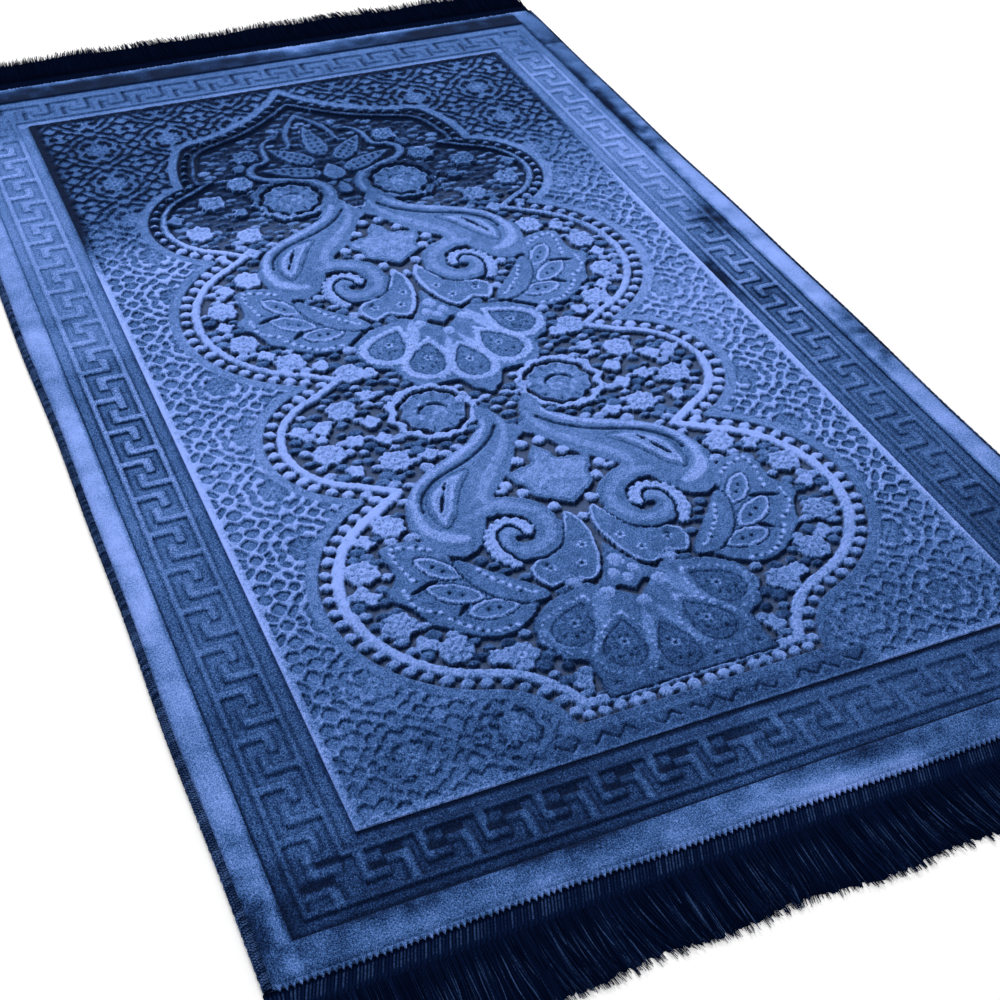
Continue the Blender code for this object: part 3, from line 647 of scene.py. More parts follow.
def carve_lattice(pile, outside):
    """Recessed cells in the long pile round the medallion: clusters of four and rosettes in turn."""
    x = pile.x + 0.5 * cloud(pile.x, pile.y, 7.0, 12)
    y = pile.y + 0.5 * cloud(pile.x, pile.y, 7.0, 13)
    u = (LATTICE_X - x + LATTICE_WIDE / 2) % LATTICE_WIDE - LATTICE_WIDE / 2
    v = (y - LATTICE_Y + LATTICE_LONG / 2) % LATTICE_LONG - LATTICE_LONG / 2
    au, av = np.abs(u), np.abs(v)
    # The rosette's own frame: half a pitch across and half a pitch along.
    ru = LATTICE_WIDE / 2 - au
    rv = LATTICE_LONG / 2 - av

    def diamond(cx, cy, wide, long):
        """Distance to a diamond with rounded sides, in folded coordinates."""
        a = np.abs(au - cx) / wide
        b = np.abs(av - cy) / long
        return ((a**1.35 + b**1.35) ** (1 / 1.35) - 1) * min(wide, long)

    def leaf(px, py, cx, cy, half_length, half_width, degrees):
        """Distance to a short leaf, in folded coordinates."""
        c, s = across_and_along(degrees)
        along = np.abs((px - cx) * c + (py - cy) * s) / half_length
        across = np.abs((py - cy) * c - (px - cx) * s) / half_width
        return ((along**2.6 + across**2.6) ** (1 / 2.6) - 1) * half_width

    radius = np.hypot(ru, rv)
    angle = np.arctan2(rv, ru)
    petals = np.hypot(ru, rv / 1.13) - 12.2 * (1 + 0.09 * np.cos(8 * angle))
    cells = [petals]
    cells += [diamond(*row) for row in CELL_DIAMONDS]
    cells += [leaf(au, av, *row) for row in CELL_LEAVES]
    cells += [leaf(ru, rv, *row) for row in ROSETTE_LEAVES]
    distance = np.minimum.reduce(cells)
    # Each cell wanders a little, as cut pile does.
    distance = distance - 0.40 - 0.15 * pile.far + 0.40 * cloud(pile.x, pile.y, 3.6, 11)
    edge = np.minimum(FIELD_HALF - pile.x, np.minimum(pile.y, FIELD_LENGTH - pile.y))
    distance = np.maximum(distance, LATTICE_RIM - edge)
    # The plain strip under the medallion's base is crossed by a zigzag alone.
    strip = (1 - rise(17.0, 21.0, pile.y)) * (1 - rise(118.0, 134.0, pile.x))
    share = np.clip(0.5 - distance / 1.0, 0, 1) * outside * (1 - strip)
    pile.cover(..., share, *KINDS["cell"])
    # Cells turn lighter far away, where the long pile leans from the light, and at the near end.
    pile.tone += (0.10 * pile.far + 0.14 * (1 - rise(60, 240, pile.y))) * share
    pile.cover(..., strip * outside, SHORT_TOP + 0.3, 0.2, -0.07)
    wave = ZIGZAG_Y + ZIGZAG_HIGH * (2 * np.abs((pile.x / ZIGZAG_PITCH) % 1.0 - 0.5) - 0.5)
    run = ((pile.x + 12.0) / LATTICE_WIDE) % 1.0
    line = ridge(pile.y - wave + 0.8 * pile.fray, 1.3) * strip * (run < 0.8) * (np.abs(run - 0.5) > 0.05)
    pile.groove(..., line, 1.0, 0.16)
    stitches = cloud(pile.x, pile.y, 3.0, 15) > 0.1
    pile.tone += 0.14 * ridge(pile.y - wave + 2.6, 1.2) * strip * stitches
    # Petal lines and the dotted middle of each rosette.
    lines = ridge(np.sin(4 * angle) * radius / 4, 0.5) * rise(4.0, 6.0, radius) * (petals < -1.5)
    pile.groove(..., lines * outside, 0.5, 0.16)
    dots = np.exp(-((radius - 3.4) ** 2) / 0.8) * (0.5 + 0.5 * np.cos(5 * angle)) * outside
    pile.tone += 0.22 * dots - 0.2 * np.exp(-(radius**2) / 1.5) * outside


def carve_medallion_ground(pile):
    """The ribbon, the flat weave inside it, the beads and the rope.

    It gives back each place's distance to the ribbon and to the rope.
    """
    line = np.concatenate([*ribbon_arcs(), [RIBBON_ROWS[-1][:2]]])
    ring = np.concatenate([line, np.stack([-line[::-1, 0], line[::-1, 1]], axis=1)[1:]])
    distance = ring_distance(pile.x, pile.y, ring)
    outside = np.clip(0.5 + (distance - RIBBON_HALF) / 1.3, 0, 1)
    carve_lattice(pile, outside)
    pile.cover(..., 1 - outside, *KINDS["band"])
    # Painted sheen: inside the ribbon the pile is lighter far away.
    pile.tone += 0.04 * pile.far * (1 - outside)
    pile.cover(..., np.clip(0.5 - (distance + RIBBON_HALF) / 1.3, 0, 1), WEAVE_TOP, 0.0, 0.0, 1.0)
    beads = inset_path(BEAD_INSET)
    corner = int(np.argmax(beads[:, 0] > RIBBON_ROWS[0][0] * 0.85))
    draw = np.random.default_rng(3)
    for part, pitch in ((beads[: corner + 1], BASE_BEAD_PITCH), (beads[corner:], BEAD_PITCH)):
        for x, y in places_along(part, pitch):
            nudge = draw.normal(0, 0.4, 2)
            radius, tone = draw.uniform(4.9, 5.6), 0.10
            if y > 700:
                # Far beads are smaller, and lighter with painted sheen.
                radius, tone = 0.78 * radius, 0.36
            elif y < 45:
                tone = 0.20
            pile.dome(x + nudge[0], y + nudge[1], radius, LONG_TOP, 1.0, tone, 0.9)
    rope = inset_path(ROPE_INSET)
    away = path_distance(pile.x, pile.y, rope)
    away = away + 0.7 * cloud(pile.x, pile.y, 2.8, 5)
    slim = rise(250, 400, pile.y)
    half = ROPE_HALF - 0.9 * slim - 0.3 * pile.far
    share = np.clip((half - away) / 1.2 + 0.5, 0, 1)
    top = LONG_TOP - 1.1 * np.clip(away / half, 0, 1) ** 4
    pile.cover(..., share, top, 1.0, 0.16 - 0.12 * slim)
    # Painted sheen: the rope's middle is lighter far away.
    pile.tone += 0.30 * pile.far * ridge(away, 1.6)
    return distance, away


def carve_rosette(pile, x, y, seed):
    """A light flower with notched petals and a ring of dots."""
    radius = ROSETTE_RADIUS
    where = pile.window([x - radius, x + radius], [y - radius, y + radius])
    dx, dy = pile.x[where] - x, pile.y[where] - y
    away, angle = np.hypot(dx, dy), np.arctan2(dy, dx)
    turn = 0.4 * seed
    square = 1 + 0.06 * np.cos(4 * (angle - 0.78)) * (seed % 2)
    edge = away - radius * square * (1 + 0.065 * np.cos(8 * angle + turn))
    edge = edge + 0.5 * cloud(pile.x[where], pile.y[where], 2.8, 60 + seed)
    pile.lay(where, edge, ((0, "long"),))
    # Painted sheen: rosettes are lighter far away.
    pile.tone[where] += 0.34 * pile.far[where] * np.clip(0.5 - edge, 0, 1)
    inner = edge < -1.0
    petals = np.sin(4 * angle + turn / 2) * away / 4
    lines = np.exp(-(petals**2) / 0.22) * rise(5.0, 7.0, away) * inner
    ring = np.exp(-((away - 5.0) ** 2) / 0.8) * inner
    pile.groove(where, lines, 1.0, 0.20)
    pile.groove(where, ring, 0.6, 0.14)
    for k in range(5):
        pile.speck(*beside(x, y, 2.7, FIFTH_TURN * k), 1.2, 0.10)
        pile.pit(*beside(x, y, 7.6, FIFTH_TURN * k + 0.4), 1.0, 0.6, -0.20)
    pile.pit(x, y, 1.2, 0.8, -0.25)


def carve_tri_leaf(pile, x, y, degrees):
    """Three short light leaves that spread from one stem."""
    for turn, reach in ((-58, 8.2), (0, 10.6), (58, 8.2), (180, 4.0)):
        angle = math.radians(degrees + turn)
        rows = ((x, y, 4.4), (*beside(x, y, reach * 0.55, angle), 4.8), (*beside(x, y, reach, angle), 1.6))
        pile.sweep(rows, ((0, "far_leaf" if y > 650 else "long"),))
    pile.pit(x, y, 1.2, 0.8, -0.15)


def carve_floret(pile, x, y, reach):
    """Five light tufts round a dark dot."""
    for k in range(5):
        pile.speck(*beside(x, y, reach, FIFTH_TURN * k + 0.3), 1.4, 0.26)
    pile.pit(x, y, 1.4, 0.8)


def carve_dotted_line(pile, rows, shift, seed):
    """A line of small light tufts, with a dark hole after every second one."""
    draw = np.random.default_rng(90 + seed)
    for index, (x, y) in enumerate(smooth_path(rows, 2.6)):
        hole = index % 3 == 2
        stray = 1.4 if hole else 0.9
        place = (x + draw.uniform(-stray, stray), y + shift + draw.uniform(-stray, stray))
        if hole:
            pile.pit(*place, 1.15, 1.0, -0.34)
        else:
            pile.speck(*place, 1.7, 0.26)


def carve_heart(pile, x, y, degrees, length, width, shift):
    """The sunk heart of a fan's drop, with a floret and dark holes."""
    pile.fill(drop_ring(x, y, degrees, length, width), ((-0.5, "line"), (0.8, "dark")), shift)
    c, s = across_and_along(degrees)
    carve_floret(pile, x, y + shift + 1.0, 2.8)
    for along, aside in HEART_HOLES:
        px = x + along * length * c - aside * width * s
        py = y + shift + along * length * s + aside * width * c
        pile.pit(px, py, 1.3 if along < 0 else 0.9, 0.9, -0.20)
    low, high = y + shift - 0.3 * length, y + shift + 0.2 * length
    where = pile.window([x - 0.3 * width, x + 0.3 * width], [low, high])
    pile.tone[where] += 0.06 * cloud(pile.x[where], pile.y[where], 2.4, 77)


def carve_disc(pile, shift):
    """A petalled disc with a curved slit, inside a scalloped light rim with leaf spikes."""
    x, y = DISC_CENTRE[0], DISC_CENTRE[1] + shift
    where = pile.window([x - 44, x + 44], [y - 44, y + 44])
    px, py = pile.x[where], pile.y[where]
    dx, dy = px - x, py - y
    away, angle = np.hypot(dx, dy), np.arctan2(dy, dx)
    outer = rise(-0.2, 0.6, np.cos(angle))
    spikes = 2.6 * outer * np.abs(np.cos(5.5 * angle)) ** 3
    rim = DISC_RIM * (1 + 0.030 * np.cos(13 * angle + 0.6)) + spikes
    ragged = np.abs(away - rim) - 3.3 - 1.1 * outer + 1.1 * cloud(px, py, 3.0, 33)
    pile.lay(where, ragged, ((0, "long"),))
    petal = away - DISC_RADIUS * (1 + 0.045 * np.cos(10 * angle)) + 0.4 * cloud(px, py, 3.0, 34)
    pile.lay(where, petal, ((0, "soft"), (2.2, "short")))
    inner = petal < -0.8
    petals = np.sin(5 * angle) * away / 5
    lines = np.exp(-(petals**2) / 0.4) * rise(17.0, 21.0, away) * inner
    pile.groove(where, lines, 0.8, 0.20)
    specks = np.clip(cloud(px, py, 2.4, 31) - 0.1, 0, 1) * inner
    pile.tone[where] += 0.30 * specks * rise(24, 12, away)
    pile.tone[where] += 0.10 * cloud(px, py, 5.0, 35) * inner
    slit = [(x + 12.5 * math.cos(turn), y + 10.5 * math.sin(turn) - 1.0, half) for turn, half in DISC_SLIT]
    pile.sweep(slit, ((0, "line" if shift else "groove"),))
    for turn in (0.3, 1.0, 1.57, 2.2, 2.9):
        pile.speck(x + 15.5 * math.cos(turn), y + 13.5 * math.sin(turn), 1.6, 0.14)


def carve_curl(pile, shift):
    """The curl's banded spiral and the scalloped comma in its hollow."""
    rows = [(*beside(*CURL_CENTRE, reach, math.radians(degrees)), half) for degrees, reach, half in CURL]
    pile.sweep(rows[:4], ((0, "short"),), shift)
    pile.sweep(rows[3:], ((-0.9, "groove"), (0.2, "short")), shift)
    pile.sweep(rows[2:4], ((0, "short"),), shift)
    pile.sweep(widened(rows, share=0.40), ((0, "soft"),), shift)
    pile.sweep(widened(COMMA, more=1.3), ((0, "groove"),), shift)
    pile.sweep(COMMA, ((0.6, "long"),), shift)
    path = smooth_path([row[:2] for row in COMMA], 1.0)
    for x, y in places_along(path, 6.0):
        dx, dy = x - CURL_CENTRE[0], y - CURL_CENTRE[1]
        out = 2.8 / max(np.hypot(dx, dy), 1.0)
        pile.dome(x + dx * out, y + dy * out + shift, 3.7, LONG_TOP)


def carve_wing(pile, shift):
    """Three leaves that grow together, each with an eye and a line of tufts."""
    pile.fill(smooth_path(WING, 3.0, closed=True), ((0, "groove"), (0.8, "short")), shift)
    for index, rows in enumerate(WING_LINES):
        carve_dotted_line(pile, rows, shift, index)
    for rows in WING_CUTS:
        pile.sweep(rows, ((0, "groove"),), shift)
    for ax, ay, bx, by, half in EYES:
        rows = [
            (ax, ay, 0.8),
            ((3 * ax + bx) / 4, (3 * ay + by) / 4, 0.78 * half),
            ((ax + bx) / 2, (ay + by) / 2, half),
            ((ax + 3 * bx) / 4, (ay + 3 * by) / 4, 0.78 * half),
            (bx, by, 0.8),
        ]
        pile.sweep(rows, ((-0.6, "groove"), (0.0, "rim"), (3.2, "short")), shift)
        for share in (0.40, 0.62):
            pile.pit(ax + (bx - ax) * share, ay + (by - ay) * share + shift, 1.4)


def carve_arm(pile, shift):
    """The long leaf that ends in the curl, with its groove, crest, teardrop and slit."""
    pile.fill(smooth_path(ARM_EDGE, 3.0, closed=True), ((0, "short"),), shift)
    carve_curl(pile, shift)
    pile.sweep(ARM_STEM, ((0, "soft"),), shift)
    groove = smooth_path(ARM_GROOVE, 1.5)
    for index, (x, y) in enumerate(groove):
        pile.pit(x, y + shift, 1.0 + 0.25 * (index % 3), 1.1, -0.09 - 0.04 * (index % 2))
    for rows in (ARM_CREST, ARM_BAND):
        pile.sweep(widened(rows, more=1.5), ((0, "soft"),), shift)
        pile.sweep(rows, ((0, "light"),), shift)
    tear = smooth_path(ARM_TEAR, 2.0, closed=True)
    pile.fill(tear, ((-1.0, "line"), (0.3, "short"), (3.6, "light"), (7.6, "soft")), shift)
    pile.sweep(widened(ARM_SLIT, more=1.6), ((0, "light"),), shift)
    pile.sweep(ARM_SLIT, ((0, "groove"),), shift)


def carve_set(pile, shift, fan_edge):
    """Arms, curls, wings, bell, tulip, trefoil, fan and disc of one set."""
    carve_disc(pile, shift)
    pile.fill(half_ring(fan_edge), ((-0.6, "groove"), (0.2, "short")), shift)
    for rows in FAN_LIGHTS:
        pile.sweep(rows, ((0, "light" if shift else "soft"),), shift)
    if shift:
        # The upper fan's hearts stand in broad light bands, which meet between the drops.
        for x, y, degrees, length, width in FAN:
            band = drop_ring(x, y, degrees, length + HEART_BAND, width + HEART_BAND)
            pile.fill(band, ((0, "light"),), shift)
    for x, y, degrees, length, width in FAN:
        carve_heart(pile, x, y, degrees, length, width, shift)
        if x:
            carve_heart_ring(pile, x, y, degrees, length, width, shift)
    carve_wing(pile, shift)
    pile.sweep(FEATHER, ((0, "groove"), (0.8, "short")), shift)
    carve_dotted_line(pile, FEATHER_LINE, shift, 7)
    bell = smooth_path(BELL, 2.5, closed=True)
    pile.fill(bell, ((-0.6, "groove"), (0.2, "rim"), (4.6 if shift else 3.2, "short")), shift)
    for x, y in BELL_FLORETS:
        carve_floret(pile, x, y + shift, 3.2)
    pile.pit(49.5, 175 + shift, 2.6, 1.2, -0.30)
    pile.fill(half_ring(TREFOIL), ((0, "short"),), shift)
    for x, y, radius in TREFOIL_LOBES:
        pile.dome(x, y + shift, radius, LONG_TOP, 0.6, 0.08, flat=1.1)
    carve_arm(pile, shift)
    tulip = half_ring([tuple(row) for row in smooth_path(TULIP, 2.5)])
    pile.fill(tulip, ((0, "short"), (4.4, "light"), (5.6, "soft")), shift)
    where = pile.window([0, 36], [229 + shift, 309 + shift])
    px, py = pile.x[where], pile.y[where]
    mottle = cloud(px, py, 2.6, 81) + 0.6 * cloud(px, py, 6.0, 82)
    pile.tone[where] += 0.10 * mottle * (pile.long[where] > 0.04) * (pile.weave[where] < 0.1)
    for x, y in PEARLS:
        pile.dome(x, y + shift, PEARL_RADIUS, LONG_TOP, 0.9, 0.04)


def carve_heart_ring(pile, x, y, degrees, length, width, shift):
    """A ring of light specks round one drop's heart."""
    draw = np.random.default_rng(int(x) + int(shift))
    for px, py in drop_ring(x, y, degrees, length + HEART_BAND, width + HEART_BAND, 34):
        if px > 2:
            pile.speck(px + draw.uniform(-1.5, 1.5), py + shift + draw.uniform(-1.5, 1.5), 1.6, 0.14)


def carve_crown(pile):
    """The palmette at the point of the arch, with its shoulders."""
    pile.sweep(SHOULDER, ((-1.4, "groove"), (0.2, "short")))
    pile.sweep(widened(SHOULDER, share=0.3), ((0, "soft"),))
    pile.sweep(CROWN_ARCH, ((-1.4, "groove"), (0.2, "short")))
    for x, y, degrees, length, width in CROWN_DROPS:
        ring = drop_ring(x, y, degrees, length, width)
        pile.fill(ring, ((-3.2, "groove"), (-0.2, "soft"), (1.6, "short")))
        c, s = across_and_along(degrees)
        for k in range(12):
            reach = (k // 2 - 3.1) * length * 0.135 + 1.8 * (k % 2)
            aside = (3.6 if k % 2 else -3.6) * (1 if k < 8 else 0.45)
            pile.pit(x + reach * c - aside * s, y + reach * s + aside * c, 1.5, 1.2, -0.34)
    pile.fill(drop_ring(0, 784, 90, 34, 22), ((-1.5, "groove"), (0.2, "soft"), (2.6, "short")))
    pile.fill(drop_ring(0, 750, 90, 25, 15), ((-1.5, "groove"), (0.2, "short")))
    for x, y in CROWN_PEARLS:
        pile.dome(x, y, 4.2, SHORT_TOP, 0.2)


def scatter_pebbles(pile, rope_away, ribbon_distance):
    """Small round tufts wherever flat weave is left between the rope and the ornament."""
    draw = np.random.default_rng(17)
    open_ground = blurred(pile.weave, 2) > 0.86
    inner = (ribbon_distance < -(ROPE_INSET + ROPE_HALF)) & (rope_away > ROPE_HALF + 3.6)
    candidates = np.argwhere(inner & open_ground)
    draw.shuffle(candidates)
    taken = []
    for spacing in PEBBLE_SPACINGS:
        for i, j in candidates:
            x, y = pile.x[i, j], pile.y[i, j]
            # Between the ornaments on the middle line the weave stays bare.
            bare = x < 20 and (y < 330 or 480 < y < 700)
            if not bare and all((x - a) ** 2 + (y - b) ** 2 > spacing**2 for a, b in taken):
                taken.append((x, y))
    for x, y in taken:
        grey = draw.random() < 0.55
        radius = draw.uniform(4.2 if y > 680 else 4.8, 6.6)
        flat = draw.uniform(0.62, 0.95)
        if y > 690:
            # Far away the pebbles are flat and dark, with light specks round them.
            flat = 0.75 * flat
            for _ in range(PEBBLE_SPECKS):
                turn = draw.uniform(0, 2 * math.pi)
                spot = (x + radius * math.cos(turn), y + SPECK_FLAT * radius * math.sin(turn))
                pile.speck(*spot, draw.uniform(0.9, 1.6), draw.uniform(0.25, 0.8))
            pile.dome(x, y, radius, WEAVE_TOP + draw.uniform(0.8, 1.8), 0.0, draw.uniform(-0.3, 0.12), flat)
        elif grey:
            pile.dome(x, y, radius, SHORT_TOP, 0.0, draw.uniform(-0.22, -0.02), flat)
        else:
            pile.dome(x, y, radius, SHORT_TOP + 0.5, 0.7, 0.0, flat)


def carve_field(step):
    """The whole carved field's right half."""
    pile = PileMap(step)
    ribbon_distance, rope_away = carve_medallion_ground(pile)
    for index, (x, y) in enumerate(ROSETTES):
        carve_rosette(pile, x, y, index)
    for x, y, degrees in TRI_LEAVES:
        carve_tri_leaf(pile, x, y, degrees)
    carve_crown(pile)
    carve_set(pile, SET_PITCH, FAN_EDGE)
    carve_set(pile, 0.0, FOOT_EDGE)
    for x in FOOT_MARKS:
        pile.sweep(((x - 3.5, 47.6, 0.5), (x, 47.2, 1.2), (x + 3.5, 47.4, 0.5)), ((0, "light"),))
        pile.pit(x, 50.5, 2.0, 0.8, -0.2)
    scatter_pebbles(pile, rope_away, ribbon_distance)
    return pile


def with_sheen_patches(tone, x, y, places):
    """A tone with patches of painted sheen added."""
    for middle_x, middle_y, wide, tall, amount in places:
        tone = tone + amount * patch(x, y, middle_x, middle_y, wide, tall)
    return tone


def field_sheen(x, y):
    """Tone of long and of short pile over the field, before the carving's own changes: painted sheen, lighter
    and darker as the pile's lean catches the light or hides from it.
    """
    long = with_sheen_patches(0.86 - 0.76 * far_share(x, y) - 0.36 * (1 - rise(20, 260, y)), x, y, FIELD_SHEEN_PATCHES)
    short = 0.57 - 0.10 * rise(640, 780, y + 0.10 * x)
    short = short - 0.17 * (1 - rise(20, 300, y)) - 0.06 * (1 - rise(20, 110, y))
    # On the right, past the middle, all the pile leans to the light: the net and its cells look alike.
    paler = rise(150, 200, x) * rise(380, 450, y) * (1 - rise(760, 850, y))
    short = short + 0.10 * paler - 0.06 * rise(-150, -220, x) * rise(800, 900, y)
    short = with_sheen_patches(short, x, y, SHORT_SHEEN_PATCHES)
    short = short + 0.06 * rise(120, 200, np.abs(x)) * rise(915, 950, y)
    return long + 0.06 * cloud(x, y, 34.0, 3), short + 0.04 * cloud(x, y, 40.0, 4)


def field_rim_light_and_shade(x, y):
    """Painted light and shade along the field's edges: a lit line at the sides and along the near edge,
    painted shadow lines far to the left, and a painted shadow line along the far edge.
    """
    left, right = FIELD_HALF + x, FIELD_HALF - x
    far_left = rise(640, 760, y)
    change = ridge(left, 3.0) * (0.20 * (1 - far_left) - 0.5 * far_left)
    change = change + 0.20 * ridge(right, 3.0)
    change = change - 0.34 * far_left * ridge(left - 5, 5.0)
    return change - 0.35 * ridge(FIELD_LENGTH - y, 3.0) + 0.15 * ridge(y, 2.0)


def painted_wall_shade(xs, ys, height):
    """Painted light and shade from the carving's walls, as if lit from the far side: walls facing the near
    side darker, walls facing the far side lighter, side walls darker, painted shadow cast by taller pile
    beyond, and hollows darker.
    """
    slope = np.gradient(height, ys, axis=0)
    across = np.abs(np.gradient(height, xs, axis=1))
    change = -0.42 * np.clip(slope, 0, 1.3) + 0.14 * np.clip(-slope, 0, 1.0)
    change = change - 0.08 * np.clip(across, 0, 1.2)
    # Painted shadow cast on the pile by taller pile beyond it.
    cast_shadow = np.zeros(height.shape)
    for rows in (1, 2, 3):
        beyond = np.concatenate([height[rows:], np.repeat(height[-1:], rows, axis=0)])
        reach = np.concatenate([ys[rows:] - ys[:-rows], np.full(rows, 9.0)])[:, None]
        cast_shadow = np.maximum(cast_shadow, beyond - height - 0.62 * reach)
    # Painted shade in the hollows.
    hollow = np.clip(blurred(height, 3) - height - 0.3, 0, 2)
    return change - 0.22 * np.clip(cast_shadow, 0, 2.2) - 0.16 * hollow


# ---------------- mesh helpers


def add_piece(name, points, faces, material, values, smooth=True):
    """A piece that rides on the frame. Its points are in millimetres, with named values on them."""
    mesh = bpy.data.meshes.new(name)
    mesh.from_pydata((points * MM).tolist(), [], faces)
    mesh.polygons.foreach_set("use_smooth", [smooth] * len(mesh.polygons))
    mesh.materials.append(material)
    for key, array in values.items():
        layer = mesh.attributes.new(key, "FLOAT", "POINT")
        layer.data.foreach_set("value", np.ascontiguousarray(array, np.float32).ravel())
    mesh.update()
    piece = bpy.data.objects.new(name, mesh)
    bpy.context.scene.collection.objects.link(piece)
    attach(piece, "root")
    return piece


def grid_faces(rows, columns):
    """The faces of a grid of points, row by row."""
    first = (np.arange(rows - 1)[:, None] * columns + np.arange(columns - 1)).ravel()
    return np.stack([first, first + 1, first + columns + 1, first + columns], axis=1)


def pile_plate(name, x, y, top, root, slot, material, values):
    """A closed plate with a modelled top. x, y and top are grids in millimetres, and it stands on root."""
    rows, columns = x.shape
    count = rows * columns
    ends = []
    for row in (0, rows - 1):
        ends.append(np.stack([x[row], y[row], np.full(columns, root)], axis=1))
    points = np.concatenate([np.stack([x, y, top], axis=-1).reshape(-1, 3), *ends])
    faces = grid_faces(rows, columns).tolist()
    j = np.arange(columns - 1)
    near, far = count + j, count + columns + j
    last = (rows - 1) * columns + j
    walls = ((j + 1, j, near, near + 1), (last, last + 1, far + 1, far), (near + 1, near, far, far + 1))
    for wall in walls:
        faces += np.stack(wall, axis=1).tolist()
    column = np.arange(rows) * columns
    faces.append([count, *column.tolist(), count + columns])
    faces.append([count + 2 * columns - 1, *(column + columns - 1).tolist()[::-1], count + columns - 1])
    filled = {key: np.concatenate([grid.ravel(), grid[0], grid[-1]]) for key, grid in values.items()}
    piece = add_piece(name, points, faces, material, filled)
    piece.data.set_sharp_from_angle(angle=math.radians(80))
    return piece


def wander(distance, waves):
    """How far a cut edge strays from its straight line."""
    return sum(height * np.sin(2 * np.pi * distance / length + phase) for height, length, phase in waves)


def uneven(x):
    """How much longer or shorter than the others a fringe's strands are."""
    return 1.8 * np.sin(x / 17.0) + 1.2 * np.sin(x / 41.0)


def edge_shift(x, y):
    """How far the cut edges move a place in the margins. y is in the rug's own coordinates."""
    sign_x, sign_y = np.sign(x), np.sign(y)
    share_x = rise(BODY_HALF - SIDE_MARGIN, BODY_HALF, np.abs(x))
    share_y = rise(BODY_LENGTH / 2 - NEAR_MARGIN, BODY_LENGTH / 2, np.abs(y))
    side = wander(y + SIDE_SHIFT * sign_x, SIDE_WAVES) + RIGHT_OVERHANG * (sign_x > 0)
    across = sign_x * share_x * side
    along = sign_y * share_y * wander(x + END_SHIFT * sign_y, END_WAVES)
    return across * (1 - share_y), along


# ---------------- shader helpers


class Value:
    """A socket in a material, with arithmetic that adds Math nodes."""

    def __init__(self, finish, socket):
        self.finish = finish
        self.socket = socket

    def math(self, operation, *others):
        sockets = dict(enumerate((self, *others)))
        return self.finish.add("ShaderNodeMath", {"operation": operation}, sockets)

    def __add__(self, other):
        return self.math("ADD", other)

    __radd__ = __add__

    def __sub__(self, other):
        return self.math("SUBTRACT", other)

    def __rsub__(self, other):
        return self.finish.add("ShaderNodeMath", {"operation": "SUBTRACT"}, {0: other, 1: self})

    def __mul__(self, other):
        return self.math("MULTIPLY", other)

    __rmul__ = __mul__

    def __truediv__(self, other):
        return self.math("DIVIDE", other)

    def __pow__(self, other):
        return self.math("POWER", other)

    def __abs__(self):
        return self.math("ABSOLUTE")

    def sin(self):
        return self.math("SINE")

    def fraction(self):
        return self.math("FRACT")

    def between(self, low, high):
        return self.math("MAXIMUM", low).math("MINIMUM", high)


class Finish:
    """A procedural material: a Principled shader with constants on its sockets, and nodes that feed it."""

    def __init__(self, name, constants):
        self.material = bpy.data.materials.new(name)
        self.material.use_nodes = True
        self.tree = self.material.node_tree
        self.shader = self.tree.nodes["Principled BSDF"]
        for key, value in constants.items():
            self.shader.inputs[key].default_value = value
        self.place = self.add("ShaderNodeTexCoord", output="Object")

    def add(self, kind, settings=None, sockets=None, output=0):
        """One node: its settings are set first, then the values or links of its sockets."""
        node = self.tree.nodes.new(kind)
        for key, value in (settings or {}).items():
            if key == "stops":
                ramp = node.color_ramp.elements
                ramp.remove(ramp[1])
                ramp[0].position, colour = value[0]
                ramp[0].color = (*colour, 1.0)
                for position, colour in value[1:]:
                    ramp.new(position).color = (*colour, 1.0)
            else:
                setattr(node, key, value)
        for key, value in (sockets or {}).items():
            if isinstance(value, Value):
                self.tree.links.new(value.socket, node.inputs[key])
            else:
                node.inputs[key].default_value = value
        return Value(self, node.outputs[output])

    def attribute(self, name):
        return self.add("ShaderNodeAttribute", {"attribute_name": name}, output="Fac")

    def axes(self):
        place = self.add("ShaderNodeSeparateXYZ", None, {"Vector": self.place})
        outputs = place.socket.node.outputs
        return [Value(self, outputs[k]) for k in range(3)]

    def noise(self, scale, detail=2.0, roughness=0.5, stretch=(1.0, 1.0, 1.0)):
        scaled = self.add("ShaderNodeVectorMath", {"operation": "MULTIPLY"}, {0: self.place, 1: stretch})
        sockets = {"Vector": scaled, "Scale": scale, "Detail": detail, "Roughness": roughness}
        return self.add("ShaderNodeTexNoise", {"noise_dimensions": "3D"}, sockets, "Fac")

    def ramp(self, value, stops):
        return self.add("ShaderNodeValToRGB", {"stops": stops}, {"Fac": value}, "Color")

    def mix(self, share, first, second):
        return self.add("ShaderNodeMix", {"data_type": "RGBA"}, {0: share, 6: first, 7: second}, 2)

    def feed(self, socket, value):
        self.tree.links.new(value.socket, self.shader.inputs[socket])

    def bump(self, height, strength, distance):
        sockets = {"Strength": strength, "Distance": distance, "Height": height}
        self.feed("Normal", self.add("ShaderNodeBump", None, sockets, "Normal"))


def linear(colour):
    """An 8-bit screen colour as linear light."""
    return tuple(((c / 255 + 0.055) / 1.055) ** 2.4 if c > 10 else c / 255 / 12.92 for c in colour)


def shaded(colour, share):
    """A colour with only a share of its light."""
    return tuple(share * c for c in colour)


# ---------------- what a user would change


def length_setting(name, description, default):
    """A setting in metres."""
    return bpy.props.FloatProperty(name=name, description=description, default=default, unit="LENGTH")


def colour_setting(name, description, default):
    """A setting that is a colour, as linear light."""
    return bpy.props.FloatVectorProperty(
        name=name, description=description, default=default, subtype="COLOR"
    )


